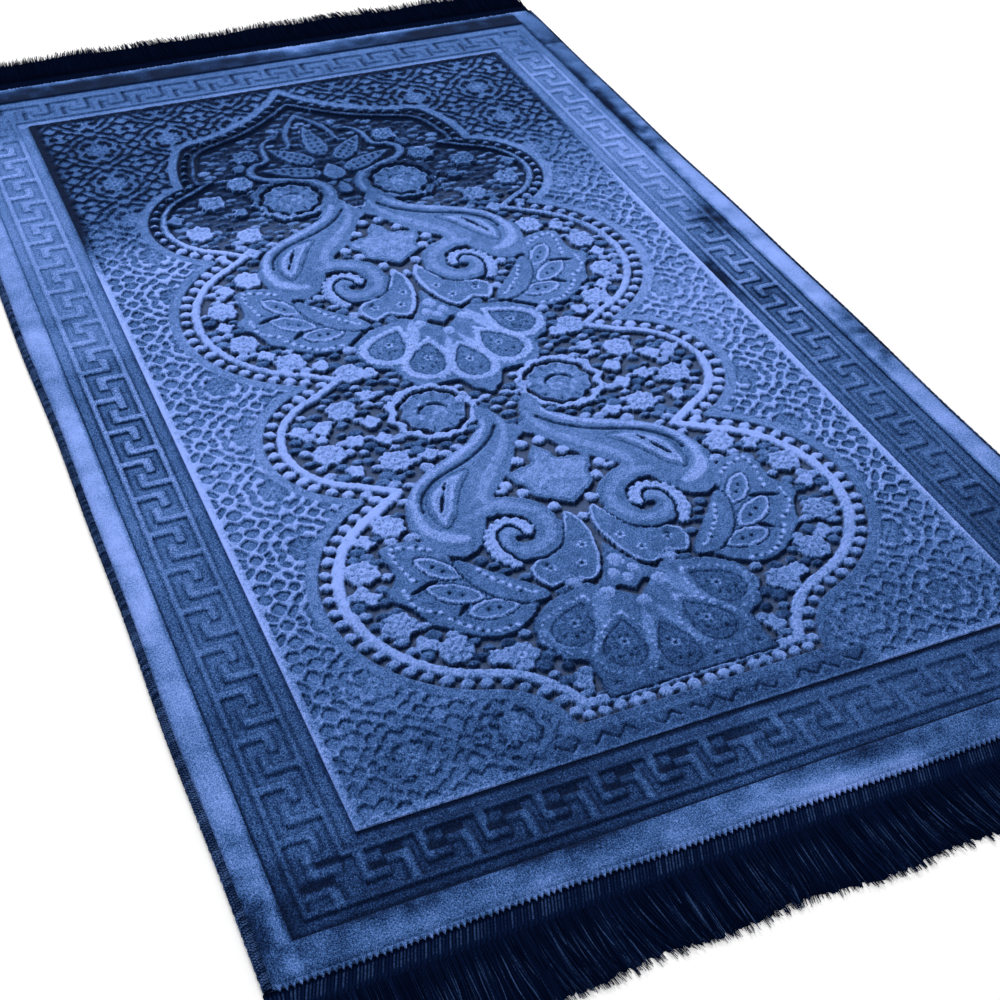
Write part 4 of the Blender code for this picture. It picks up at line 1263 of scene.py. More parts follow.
class RugSizes(bpy.types.PropertyGroup):
    """Sizes of the modelled pile, threads and fringe."""

    pile_step: length_setting("Pile grid", "Spacing of the carved field's points", 0.00142)
    border_step: length_setting("Border grid", "Widest spacing of the border's points", 0.0036)
    wrap_pitch: length_setting("Wrap pitch", "Spacing of the threads round the side edges", 0.0021)
    fringe_length: length_setting("Fringe length", "Length of the strands beyond the tape", 0.052)
    strand_radius: length_setting("Strand radius", "Radius of one strand", 0.00050)
    strand_count: bpy.props.IntProperty(
        name="Strands", description="Strands on each end", default=1400, min=100, max=2000
    )


class RugColours(bpy.types.PropertyGroup):
    """Colours of the pile, the threads and the floor, as linear light."""

    deep: colour_setting("Deep pile", "Pile that is seen into", linear((6, 14, 36)))
    shadow: colour_setting("Shadowed pile", "Pile that leans away", linear((26, 50, 93)))
    middle: colour_setting("Middle pile", "Short smooth pile", linear((68, 106, 167)))
    bright: colour_setting("Bright pile", "Long pile in the light", linear((142, 170, 248)))
    weave: colour_setting("Flat weave", "Ground inside the arch", linear((84, 104, 146)))
    yarn: colour_setting("Yarn", "Fringe, tape and edge thread", linear((9, 22, 52)))
    yarn_light: colour_setting("Yarn in the light", "Strands that catch the light", linear((80, 112, 168)))
    floor: colour_setting("Floor", "The plain floor", (0.97, 0.97, 0.97))


# ---------------- materials


# Metres between the threads of the canvas, the ribs of the flat weave and the turns of their zigzag.
CANVAS_PITCH = 0.0022
RIB_PITCH = 0.0017
ZIGZAG_RIB_PITCH = 0.0046


def velvet(colours):
    """Carved velvet. tone says how bright the pile is, fuzz how long, and weave where it is flat."""
    constants = {"Roughness": 0.9, "Specular IOR Level": 0.0, "Sheen Weight": 0.10}
    constants |= {"Sheen Roughness": 0.45, "Sheen Tint": (0.45, 0.60, 1.0, 1.0)}
    cloth = Finish("carved_velvet", constants)
    tone, fuzz, weave, nap = (cloth.attribute(name) for name in ("tone", "fuzz", "weave", "nap"))
    grain = cloth.noise(760.0, 3.0, 0.65, (1.25, 0.8, 1.0))
    fine = cloth.noise(1800.0, 1.0)
    # Long pile frays over short pile: its edge is broken up finer than the mesh is.
    frayed = ((fuzz - 0.5) * 2.6 + 0.5 + (grain - 0.5) * 3.2).between(0.0, 1.0)
    loose = tone * (1.0 - tone) * 1.5 + 0.62
    # nap is how far the painted sheen of long pile stands from that of short pile.
    shade = tone + (frayed - fuzz) * nap * 0.8 + ((grain - 0.5) * 1.0 + (fine - 0.5) * 1.1) * loose
    stops = ((0.0, colours.deep), (0.25, colours.shadow), (0.52, colours.middle), (1.0, colours.bright))
    pile = cloth.ramp(shade.between(0.0, 1.0), stops)
    x, y, _ = cloth.axes()
    # The flat weave's ribs run across in a zigzag.
    zigzag = abs((x / ZIGZAG_RIB_PITCH).fraction() - 0.5) * 2.2
    ribs = ((y / RIB_PITCH + zigzag) * 2 * math.pi).sin()
    lit = (ribs * 0.4 + 0.6) * (grain * 2.2 - 0.35) * (tone * 1.9).between(0.0, 1.2)
    stops = ((0.0, shaded(colours.weave, 0.08)), (0.3, shaded(colours.weave, 0.5)), (0.8, colours.weave))
    flat = cloth.ramp(lit, stops)
    # Where the flat weave's tone is low, its painted shade turns to the pile's deep colour.
    cloth.feed("Base Color", cloth.mix(weave * (tone * 4.0).between(0.0, 1.0), pile, flat))
    height = grain * (0.25 + fuzz * 0.75) + fine * 0.25 + ribs * weave * 0.25
    cloth.bump(height, 0.40, 0.0006)
    return cloth.material


def woven_backing(colours):
    """Plain canvas of the underside."""
    cloth = Finish("woven_backing", {"Roughness": 0.92, "Specular IOR Level": 0.1})
    x, y, _ = cloth.axes()
    turns = 2 * math.pi / CANVAS_PITCH
    over = (x * turns).sin() * (y * turns).sin()
    shade = over * 0.3 + 0.4 + cloth.noise(300.0, 2.0) * 0.4
    stops = ((0.2, shaded(colours.middle, 0.25)), (0.9, shaded(colours.middle, 0.7)))
    cloth.feed("Base Color", cloth.ramp(shade, stops))
    cloth.bump(over, 0.4, 0.0004)
    return cloth.material


def thread(name, colours, turns=None):
    """Twisted yarn: strand says how bright each strand is, with painted highlights and painted shade in it.

    turns, the gaps in a metre across and along, part the wraps.
    """
    cloth = Finish(name, {"Roughness": 0.6, "Specular IOR Level": 0.0})
    lustre = cloth.attribute("strand")
    grain = cloth.noise(900.0, 2.0, 0.6)
    shade = lustre * 0.85 + (grain - 0.5) * (lustre * 0.9 + 0.15) + 0.06
    height = grain
    if turns:
        x, y, _ = cloth.axes()
        # The gaps between the wraps are painted dark, and sunk in the bump.
        gap = abs((x * turns[0] + y * turns[1]).fraction() - 0.5) * 2
        shade = shade * 1.25 * (1 - gap**3)
        height = grain * 0.5 - gap**2
    stops = ((0.0, shaded(colours.yarn, 0.25)), (0.30, colours.yarn), (1.0, colours.yarn_light))
    cloth.feed("Base Color", cloth.ramp(shade.between(0.0, 1.0), stops))
    cloth.bump(height, 0.5, 0.0005)
    return cloth.material


def floor_finish(colours):
    """Plain matt floor with a faint mottle."""
    floor = Finish("plain_floor", {"Roughness": 0.85, "Specular IOR Level": 0.1})
    stops = ((0.0, shaded(colours.floor, 0.985)), (1.0, colours.floor))
    floor.feed("Base Color", floor.ramp(floor.noise(6.0, 2.0), stops))
    return floor.material


def once(name, make, *details):
    """The material of that name, made the first time it is asked for."""
    return bpy.data.materials.get(name) or make(*details)


# ---------------- operators


class RUG_OT_backing(bpy.types.Operator):
    """Builds the woven backing that the pile stands on"""

    bl_idname = "rug.backing"
    bl_label = "Backing"

    def execute(self, context):
        columns = np.linspace(-BODY_HALF, BODY_HALF, 41)
        rows = np.linspace(-BODY_LENGTH / 2, BODY_LENGTH / 2, 61)
        x, y = np.meshgrid(columns, rows)
        across, along = edge_shift(x, y)
        top = np.full(x.shape, BACKING_TOP)
        canvas = once("woven_backing", woven_backing, context.scene.rug_colours)
        piece = pile_plate("rug_backing", x + across, y + along, top, 0.0, "velvet_pile", canvas, {})
        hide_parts("velvet_sheet")
        return {"FINISHED"}


class RUG_OT_field(bpy.types.Operator):
    """Carves the field's pile: lattice, ribbon, beads, rope and ornament"""

    bl_idname = "rug.field"
    bl_label = "Carved field"

    def execute(self, context):
        pile = carve_field(context.scene.rug_sizes.pile_step / MM)
        layers = (pile.height, pile.long, pile.tone, pile.weave)
        height, long, change, weave = (np.concatenate([half[:, :0:-1], half], axis=1) for half in layers)
        xs = np.concatenate([-pile.xs[:0:-1], pile.xs])
        x, y = np.meshgrid(xs, pile.ys)
        # The weave's own look fades far away, where its ribs are too close to part.
        yarn = weave * (1 - 0.6 * rise(640, 760, y))
        long, weave = np.clip(long, 0, 1), np.clip(weave, 0, 1)
        # Painted light and shade of the carving's walls, weaker at the near end.
        walls = painted_wall_shade(xs, pile.ys, height) * (0.55 + 0.45 * rise(10, 170, y))
        draw = np.random.default_rng(23)
        height = height + (0.05 + 0.16 * long) * draw.normal(size=x.shape).clip(-2, 2)
        height = np.clip(height, WEAVE_TOP - 0.1, FIELD_TOP + 0.3)
        long_sheen, short_sheen = field_sheen(x, y)
        nap = long_sheen - short_sheen
        tone = short_sheen + long * nap + change
        # The flat weave's tone: darker far away, where it is painted as lying in the pile's shade, and a
        # little darker at the near end.
        weave_tone = 0.62 - 0.55 * rise(600, 780, y + 0.10 * x) - 0.12 * (1 - rise(20, 200, y))
        tone += weave * (weave_tone - tone)
        # The walls' and the field edges' painted light and shade join the tone.
        tone += walls + field_rim_light_and_shade(x, y)
        tone += (1 - weave) * (0.05 * cloud(x, y, 5.0, 51) + 0.05 * cloud(x, y, 2.6, 52))
        tone += (0.02 + 0.07 * long) * draw.normal(size=x.shape)
        tone = np.clip(tone, 0, TONE_TOP)
        material = once("carved_velvet", velvet, context.scene.rug_colours)
        rows = len(pile.ys) - 1
        for part in range(FIELD_PARTS):
            cut = slice(part * rows // FIELD_PARTS, (part + 1) * rows // FIELD_PARTS + 1)
            values = {"tone": tone[cut], "fuzz": long[cut], "weave": yarn[cut], "nap": nap[cut]}
            place = (x[cut], y[cut] + FIELD_NEAR, height[cut], PILE_ROOT)
            pile_plate(f"field_pile_{part + 1}", *place, "velvet_pile", material, values)
        return {"FINISHED"}


def key_boxes():
    """The Greek key's bars and hooks as boxes: x0, x1, y0, y1 from the rug's middle."""
    half_x, half_y = FIELD_HALF + OUTER_LINE, FIELD_LENGTH / 2 + OUTER_LINE
    boxes = []

    def side(half_length, pitch, place):
        """Bars and hooks along one straight run of the key, from its middle to both ends."""
        thick, reach = BAR_WIDTH / 2, HOOK_SHARE * pitch
        bars = [(0.0, (-1, 1), False)]
        count = int((half_length - reach) / pitch)
        for index in range(count + 1):
            for turn in (-1, 1):
                inner = turn * (index + INNER_BAR_SHARE) * pitch
                outer = turn * (index + 1) * pitch
                if abs(inner) < half_length:
                    bars.append((inner, (-turn,), True))
                if index < count:
                    bars.append((outer, (turn,), False))
        for middle, hooks, inner in bars:
            spans = [(middle - thick, middle + thick, 0.0, BAR_REACH)]
            for hook in hooks:
                ends = sorted((middle, middle + hook * reach))
                spans.append((ends[0], ends[1], BAR_REACH - BAR_WIDTH, BAR_REACH))
            for low, high, near, far in spans:
                if inner:
                    near, far = MEANDER_WIDTH - far, MEANDER_WIDTH - near
                place(low, high, near, far)

    def sides(low, high, near, far):
        """One box on the left and on the right."""
        boxes.append((half_x - far, half_x - near, FIELD_MIDDLE + low, FIELD_MIDDLE + high))
        boxes.append((near - half_x, far - half_x, FIELD_MIDDLE + low, FIELD_MIDDLE + high))

    def ends(low, high, near, far):
        """One box at the near and at the far end."""
        boxes.append((low, high, FIELD_MIDDLE + half_y - far, FIELD_MIDDLE + half_y - near))
        boxes.append((low, high, FIELD_MIDDLE - half_y + near, FIELD_MIDDLE - half_y + far))

    side(half_y + 6.0, LONG_PITCH, sides)
    side(half_x - MEANDER_WIDTH, SHORT_PITCH, ends)
    return boxes


def cut_lines(low, high, edges, step):
    """Grid lines from low to high: two beside each edge, and others so that none are a step apart."""
    wanted = {low, high}
    for edge in edges:
        wanted |= {value for value in (edge - 0.45, edge + 0.45) if low < value < high}
    lines = [low]
    for value in sorted(wanted)[1:]:
        start, gap = lines[-1], value - lines[-1]
        if gap >= 0.35 or value == high:
            parts = max(1, math.ceil(gap / step))
            lines += [start + gap * (k + 1) / parts for k in range(parts)]
    return np.array(lines)


def near_right(x):
    """0 on the near border's left part and 1 on its right part, where the key's painted light and shade are
    softer.
    """
    return rise(-70, 110, x)


def border_values(x, y, boxes):
    """Height, share of long pile, painted shadow and light of the key, and distance from the field, of the
    border and the margins.
    """
    from_field = np.maximum(np.abs(x) - FIELD_HALF, np.abs(y - FIELD_MIDDLE) - FIELD_LENGTH / 2)
    height = np.full(x.shape, GUARD_TOP)
    long = np.zeros(x.shape)
    shadow = np.zeros(x.shape)

    def raise_pile(where, distance, top, share):
        """Raises the pile there, and gives back how much of each place it covers."""
        cover = np.clip(0.5 - distance / 0.9, 0, 1)
        height[where] += cover * (top - height[where])
        long[where] += cover * (share - long[where])
        return cover

    for start in (INNER_GUARD, OUTER_LINE):
        line = np.abs(from_field - start - LINE_WIDTH / 2) - LINE_WIDTH / 2
        raise_pile(..., line, LINE_TOP, 0.62)
    for x0, x1, y0, y1 in boxes:
        where = np.nonzero((x > x0 - 1.5) & (x < x1 + 1.5) & (y > y0 - 1.5) & (y < y1 + 1.5))
        px, py = x[where], y[where]
        distance = np.maximum(np.maximum(x0 - px, px - x1), np.maximum(y0 - py, py - y1))
        cover = raise_pile(where, distance, KEY_TOP, 0.6)
        # Painted shadow behind each bar across the near border.
        if y1 < FIELD_NEAR and x1 - x0 > y1 - y0:
            cast_shadow = (x > x0) & (x < x1) & (y > y1) & (y < y1 + 6.0)
            shadow[cast_shadow] = -0.26 * (1 - 0.85 * near_right(x[cast_shadow]))
        elif y1 < FIELD_NEAR:
            # Painted light on each bar along the near border.
            shadow[where] += 0.10 * cover * (1 - 0.7 * near_right(px))
        elif y0 > FIELD_FAR and x1 - x0 < y1 - y0:
            # Painted shadow beside each bar along the far border.
            cast_shadow = (x > x1) & (x < x1 + 4.0) & (y > y0) & (y < y1)
            shadow[cast_shadow] = -0.22
    raise_pile(..., BAND_WIDTH - from_field, MARGIN_TOP, 1.0)
    rim = np.minimum(BODY_HALF - np.abs(x), BODY_LENGTH / 2 - np.abs(y))
    height -= 1.4 * (1 - rise(0.0, 3.0, rim))
    return height, long, shadow, from_field


def border_sheen(x, y):
    """Tone of long and of short pile over the border and the margins: painted sheen and shade, as the pile's
    lean catches the light or hides from it.
    """
    along = (y + BODY_LENGTH / 2) / BODY_LENGTH
    far = rise(0.03, 0.50, along)
    end = rise(0.885, 0.905, along)
    right = rise(-330, 330, x)
    short = 0.27 + 0.20 * far + 0.08 * rise(0.55, 0.75, along) - 0.14 * end
    clear = rise(0.30, 0.44, along)
    long = short + 0.03 + 0.14 * far + 0.18 * clear - 0.20 * end
    soft = rise(0.46, 0.60, along)
    long = long - 0.10 * soft
    short = short - 0.04 * clear + 0.07 * soft + 0.05 * end
    near_band = rise(FIELD_NEAR + 2, FIELD_NEAR - 8, y)
    change = near_band * (0.05 * rise(-60, 40, x) - 0.09 * rise(-40, -130, x))
    long, short = long + change, short + change
    side_margin = rise(BAND_WIDTH - 1, BAND_WIDTH + 1, np.abs(x) - FIELD_HALF)
    end_margin = rise(BAND_WIDTH - 1, BAND_WIDTH + 1, np.abs(y - FIELD_MIDDLE) - FIELD_LENGTH / 2)
    side_tone = 0.60 + 0.22 * rise(0.14, 0.34, along) - 0.30 * rise(0.72, 0.86, along) * right
    side_tone = side_tone - 0.10 * rise(0.44, 0.60, along) * (1 - right)
    near_tone = 0.42 + 0.02 * right
    far_tone = 0.06 + 0.10 * rise(-150, 60, x) * rise(210, 130, x)
    far_tone = far_tone + 0.40 * rise(BODY_LENGTH / 2 - 13, BODY_LENGTH / 2 - 3, y)
    far_tone = far_tone + 0.10 * cloud(x, y, 13.0, 48)
    end_tone = np.where(y < 0, near_tone, far_tone)
    long = long + side_margin * (side_tone - long)
    long = long + end_margin * (1 - side_margin) * (end_tone - long)
    torn = cloud(x, y, 7.0, 45)
    for middle_x, middle_y, wide, tall, amount in BORDER_SHEEN_PATCHES:
        place = amount * patch(x, y, middle_x, middle_y, wide, tall) * (1 + 0.5 * torn * (amount < 0))
        long = long + place
        short = short + 0.8 * place
    margins = np.maximum(side_margin, end_margin)
    long = long + (0.06 + 0.06 * margins) * cloud(x, y, 24.0, 41)
    long = long + (0.03 + 0.05 * margins) * cloud(x, y, 9.0, 42)
    return long, short + 0.05 * cloud(x, y, 30.0, 43) + 0.03 * cloud(x, y, 8.0, 44)


def distinct(values):
    """The values in order, without those that are the same to a hundredth."""
    return sorted({round(value, 2) for value in values})


def border_edge_light_and_shade(x, y, from_field):
    """Painted light and shade along the border's edges: a dark painted shadow line outside the field's near
    edge and a fainter one all round the field, painted shade along the margins' inner edge, a lit line just
    inside the near margin, and the far end's inner guard lighter.
    """
    near = FIELD_NEAR - y
    outer = near - BAND_WIDTH
    beyond = from_field - BAND_WIDTH
    within = np.abs(x) < FIELD_HALF + BAND_WIDTH
    edge_light_and_shade = -1.1 * ridge(near - 1.3, 1.5) * (np.abs(x) < FIELD_HALF + 1)
    depth = 0.20 + 0.40 * (outer > -3) * within * (1 - 0.45 * near_right(x))
    edge_light_and_shade = edge_light_and_shade - depth * ridge(beyond + 0.9, 0.9)
    edge_light_and_shade = edge_light_and_shade - 0.16 * ridge(from_field - 1.0, 1.2)
    guard = rise(0.0, 2.5, from_field) * rise(INNER_GUARD, 8.0, from_field)
    edge_light_and_shade = edge_light_and_shade + 0.12 * (y > FIELD_FAR) * guard
    ragged = 0.5 + 0.5 * cloud(x, y, 4.0, 47)
    return edge_light_and_shade + 0.26 * ragged * ridge(outer - 0.9, 0.9) * within


class RUG_OT_border(bpy.types.Operator):
    """Builds the border's guards, lines and Greek key, and the plain margins"""

    bl_idname = "rug.border"
    bl_label = "Border and margins"

    def execute(self, context):
        step = context.scene.rug_sizes.border_step / MM
        boxes = key_boxes()
        half_y = FIELD_LENGTH / 2
        rings = np.cumsum([INNER_GUARD, LINE_WIDTH, MEANDER_WIDTH, LINE_WIDTH, OUTER_GUARD])
        x_edges = [FIELD_HALF, FIELD_HALF + BAND_WIDTH - 1.8, *(FIELD_HALF + rings)]
        y_edges = [half_y, half_y + 1.4, half_y + 2.8, half_y + BAND_WIDTH - 1.8, *(half_y + rings)]
        side_boxes = [b for b in boxes if abs(b[0]) > FIELD_HALF and abs(b[1]) > FIELD_HALF]
        end_boxes = [b for b in boxes if b not in side_boxes]
        x_edges += [abs(v) for b in side_boxes for v in b[:2]]
        y_edges += [abs(v - FIELD_MIDDLE) for b in end_boxes for v in b[2:]]
        band_x = cut_lines(FIELD_HALF, BODY_HALF, distinct(x_edges), step)
        end_edges = distinct(v for b in end_boxes for v in b[:2])
        side_edges = distinct(v for b in side_boxes for v in b[2:])
        y_edges = distinct(y_edges)
        middle_x = cut_lines(-FIELD_HALF, FIELD_HALF, end_edges, step)
        middle_y = cut_lines(FIELD_NEAR, FIELD_FAR, side_edges, step)
        near_y = cut_lines(-BODY_LENGTH / 2, FIELD_NEAR, [FIELD_MIDDLE - v for v in y_edges], step)
        far_y = cut_lines(FIELD_FAR, BODY_LENGTH / 2, [FIELD_MIDDLE + v for v in y_edges], step)
        all_x = np.concatenate([-band_x[::-1], middle_x[1:-1], band_x])
        strips = (
            ("near_border_pile", all_x, near_y),
            ("far_border_pile", all_x, far_y),
            ("left_border_pile", -band_x[::-1], middle_y),
            ("right_border_pile", band_x, middle_y),
        )
        material = once("carved_velvet", velvet, context.scene.rug_colours)
        draw = np.random.default_rng(29)
        for name, xs, ys in strips:
            x, y = np.meshgrid(xs, ys)
            height, long, shadow, from_field = border_values(x, y, boxes)
            long_sheen, short_sheen = border_sheen(x, y)
            nap = long_sheen - short_sheen
            # The key's painted shadow darkens only the short pile; its painted light is added in full.
            tone = short_sheen + long * nap + np.where(shadow < 0, shadow * (1 - long), shadow)
            # Painted shade on the walls of the key and the lines, strongest on walls that face the near side;
            # its strength changes along the rug and is less on the near border's right part. The edges'
            # painted light and shade follow.
            slope = np.gradient(height, ys, axis=0)
            aside = np.abs(np.gradient(height, xs, axis=1))
            wall_shade_share = (1 + 0.7 * rise(-250, -80, y)) * (1 - 0.62 * rise(-40, 110, y))
            wall_shade_share = wall_shade_share * (1 - 0.35 * near_right(x) * (y < FIELD_NEAR))
            tone = tone - wall_shade_share * (0.34 * np.clip(slope, 0, 1.0) + 0.10 * np.clip(-slope, 0, 1.0))
            tone = tone - wall_shade_share * 0.22 * np.clip(aside, 0, 1.0) + border_edge_light_and_shade(x, y, from_field)
            height = height + 0.05 * draw.normal(size=x.shape).clip(-2, 2)
            across, along = edge_shift(x, y)
            values = {"tone": np.clip(tone, 0, TONE_TOP), "fuzz": long, "weave": 0 * long, "nap": nap}
            pile_plate(name, x + across, y + along, height, PILE_ROOT, "velvet_pile", material, values)
        return {"FINISHED"}


class RUG_OT_overcast(bpy.types.Operator):
    """Wraps thread round both cut sides"""

    bl_idname = "rug.overcast"
    bl_label = "Overcast edges"

    def execute(self, context):
        pitch = context.scene.rug_sizes.wrap_pitch / MM
        turns = (1 / context.scene.rug_sizes.wrap_pitch,) * 2
        material = once("wrapped_thread", thread, "wrapped_thread", context.scene.rug_colours, turns)
        for side, name in ((-1, "left_overcast"), (1, "right_overcast")):
            low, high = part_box(name)
            ys = np.arange(low.y / MM, high.y / MM + 0.3, pitch / 3.7)
            angles = np.linspace(-0.35, math.pi + 0.35, 7)
            y, angle = np.meshgrid(ys, angles, indexing="ij")
            lean = (y - side * 1.1 * angle) / pitch
            rib = np.abs((lean % 1.0) - 0.5) * 2
            size = 1 - 0.30 * rib**2
            wide, tall, cover = WRAP_SHAPE[side]
            centre = side * (BODY_HALF + wander(y + SIDE_SHIFT * side, SIDE_WAVES) + cover + wide)
            x = centre + wide * size * np.cos(angle) + 0.25 * np.sin(y * 0.9) * np.sin(y * 0.13)
            z = np.maximum(1.6 + tall * size * np.sin(angle), 0.05)
            rows, columns = y.shape
            points = np.stack([x, y, z], axis=-1).reshape(-1, 3)
            first = np.arange(rows - 1) * columns
            under = np.stack([first + columns - 1, first, first + columns, first + 2 * columns - 1], axis=1)
            caps = [list(range(columns)), list(range(rows * columns - 1, (rows - 1) * columns - 1, -1))]
            faces = [*grid_faces(rows, columns).tolist(), *under.tolist(), *caps]
            draw = np.random.default_rng(31 + side)
            wraps = draw.uniform(0.35, 1.0, 4000)
            # Each wrap's own random brightness, with painted shade towards the gaps between the wraps.
            strand = wraps[np.floor(lean - lean.min()).astype(int)] * (1 - 0.9 * rib**1.5)
            values = {"strand": strand}
            piece = add_piece(f"{name}_wrap", points, faces, material, values)
            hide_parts(name)
        return {"FINISHED"}


def tube_strands(name, paths, radii, sides, material, strand_highlights):
    """Many thin tubes as one mesh. paths is strands by points by three, in millimetres."""
    strands, steps, _ = paths.shape
    along = np.gradient(paths, axis=1)
    along /= np.linalg.norm(along, axis=2)[..., None]
    across = np.cross(along, (0.0, 0.0, 1.0))
    across /= np.linalg.norm(across, axis=2)[..., None]
    up = np.cross(across, along)
    turns = 2 * np.pi * np.arange(sides) / sides + 0.5
    ring = across[:, :, None] * np.cos(turns)[:, None] + up[:, :, None] * np.sin(turns)[:, None]
    points = paths[:, :, None] + radii[:, :, None, None] * ring
    points[..., 2] = np.maximum(points[..., 2], 0.05)
    index = np.arange(strands * steps * sides).reshape(strands, steps, sides)
    a, b = index[:, :-1], index[:, 1:]
    walls = np.stack([a, np.roll(a, -1, 2), np.roll(b, -1, 2), b], axis=-1).reshape(-1, 4)
    faces = walls.tolist() + index[:, 0, ::-1].tolist() + index[:, -1].tolist()
    shade = np.broadcast_to(strand_highlights[:, :, None], index.shape)
    return add_piece(name, points.reshape(-1, 3), faces, material, {"strand": shade})


class RUG_OT_fringes(bpy.types.Operator):
    """Builds the heading tapes, their stitches, the cut teeth over them and the strands"""

    bl_idname = "rug.fringes"
    bl_label = "Fringes"

    def execute(self, context):
        sizes = context.scene.rug_sizes
        yarn = once("loose_yarn", thread, "loose_yarn", context.scene.rug_colours)
        pile = once("carved_velvet", velvet, context.scene.rug_colours)
        for end, name in ((-1, "near_fringe"), (1, "far_fringe")):
            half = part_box(name)[1].x / MM
            draw = np.random.default_rng(50 + end)
            self.tape(end, name, half, yarn, draw)
            self.teeth(end, name, pile)
            self.strands(end, name, half, sizes, yarn, draw)
            self.underlay(end, name, half, sizes, yarn, draw)
        return {"FINISHED"}

    def tape(self, end, name, half, yarn, draw):
        """A ribbed woven tape with a row of chain stitches along its outer edge."""
        count = 3 * int(2 * half / TAPE_RIB)
        across = np.linspace(-half, half, count + 1)
        groove = (np.arange(count + 1) % 3 == 0) * 1.0
        bright = np.repeat(draw.uniform(0.20, 0.46, count // 3 + 1), 3)[: count + 1]
        deep = np.array([0.3, 1.0, 4.5, 9.0, 12.4, 14.0, 15.4, 16.8, 18.2, TAPE_WIDTH])[::end]
        x, depth = np.meshgrid(across, deep)
        chain = ridge(depth - CHAIN_DEPTH, 1.7)
        links = 0.5 + 0.5 * np.cos(2 * np.pi * (x + 0.6 * np.abs(depth - CHAIN_DEPTH)) / CHAIN_LINK)
        # The ribs lean, and straighten towards the tape's cut ends.
        x = x + 0.40 * end * (depth - 9.0) * rise(half, half - 25.0, np.abs(x))
        y = end * (BODY_LENGTH / 2 + depth)
        y = y + (1 - rise(0.0, TAPE_WIDTH, depth)) * end * wander(x + END_SHIFT * end, END_WAVES)
        top = 1.45 + 0.65 * (1 - groove) * (1 - chain) + chain * (0.3 + 1.1 * links)
        top = top - 0.5 * (1 - rise(0.3, 1.5, depth)) - 0.5 * rise(18.2, TAPE_WIDTH, depth)
        # Each rib's own random brightness, with painted shade in the gaps between the ribs, under the teeth
        # at the tape's inner edge and past the chain stitches, and the far tape painted as in shade.
        shade = bright * (1 - groove) * (1 - chain) + chain * 0.30 * links**2
        shade = shade * rise(0.5, 3.0, depth) * (1 - 0.8 * rise(16.8, 18.0, depth)) * TAPE_LIGHT[end]
        piece = pile_plate(f"{name}_tape", x, y, top, 0.0, "fringe_yarn", yarn, {"strand": shade})
        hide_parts(name)

    def teeth(self, end, name, pile):
        """The velvet's pinked edge, a row of small light points over the tape."""
        count = int(2 * (BODY_HALF - 1) / TOOTH_PITCH)
        middles = (np.arange(count) - (count - 1) / 2) * TOOTH_PITCH
        edge = end * (BODY_LENGTH / 2 + wander(middles + END_SHIFT * end, END_WAVES))
        draw = np.random.default_rng(37 + end)
        wedge = [face[::end] for face in ((0, 2, 1), (3, 4, 5), (0, 1, 4, 3), (1, 2, 5, 4), (2, 0, 3, 5))]
        points, faces = [], []
        for x, y in zip(middles, edge):
            faces += [[len(points) + k for k in face] for face in wedge]
            back = y - end * 1.2
            tip = y + end * draw.uniform(2.0, 3.6)
            aside = draw.uniform(-0.5, 0.5)
            for root, top, out in ((2.0, 2.0, 0.0), (4.5, 3.2, 0.3)):
                points += [(x - TOOTH_HALF, back, root), (x + TOOTH_HALF, back, root)]
                points.append((x + aside, tip - end * out, top))
        points = np.array(points)
        tone, _ = border_sheen(points[:, 0][:, None], points[:, 1][:, None] - end * 3.0)
        tone = np.clip(tone.ravel() + TOOTH_LIGHT[end], 0, TONE_TOP)
        values = {"tone": tone, "fuzz": np.full(len(points), 0.7), "weave": 0 * tone, "nap": 0 * tone}
        add_piece(f"{name}_teeth", points, faces, pile, values, smooth=False)

    def strands(self, end, name, half, sizes, yarn, draw):
        """Loose strands that leave the tape's edge, sink to the floor and lie there in soft waves."""
        count = sizes.strand_count
        root = BODY_LENGTH / 2 + TAPE_WIDTH - 1.6
        share = np.linspace(0, 1, 7)[None, :]
        x0 = np.linspace(-half + 0.8, half - 0.8, count) + draw.normal(0, 0.35, count)
        x0 = np.clip(x0, -half + 0.6, half - 0.6)
        reach = sizes.fringe_length / MM + 1.6
        place = x0 / LOCK_WIDTH + 0.5 * np.sin(x0 / 23.0)
        lock = np.floor(place)
        lock_draw = np.random.default_rng(70 + end).uniform(-1, 1, (3, 600))
        which = (lock + 300).astype(int)
        length = reach * (0.93 + 0.035 * lock_draw[0][which] + 0.03 * draw.normal(size=count))
        length = np.clip(length + uneven(x0), 0.75 * reach, 1.01 * reach)
        if end > 0:
            length = length + draw.uniform(2.0, 9.0, count)
        lean = 3.0 + 4.5 * np.sin(x0 / 37.0 + end) + 3.0 * np.sin(x0 / 11.3) + 1.6 * draw.normal(size=count)
        lean = (lean + 1.2 * lock_draw[1][which]) * (1 - rise(half - 40, half, np.abs(x0)))
        gather = (lock + 0.5 - place) * 1.2
        phase = draw.uniform(0, 2 * np.pi, count)[:, None]
        waves = 0.9 * np.sin(0.4 * phase + 6.0 * share + 3 * lock_draw[2][which][:, None]) * share
        x = x0[:, None] + (lean + gather)[:, None] * share**1.7 + waves
        x = np.clip(x, -half - 0.5, half + 0.5)
        y = end * (root + length[:, None] * share)
        layer = draw.uniform(0.0, STRAND_HEAP[end], count)[:, None]
        low = 0.6 + layer * (1 - 0.4 * share)
        z = low + (2.0 - low) * (1 - rise(0.0, 0.2, share)) + 0.3 * np.sin(phase * 3 + 9 * share) * share
        paths = np.stack([x, y, np.maximum(z, 0.5)], axis=-1)
        radius = sizes.strand_radius / MM * draw.uniform(0.8, 1.25, count)[:, None]
        radii = radius * (1 - 0.6 * share**3)
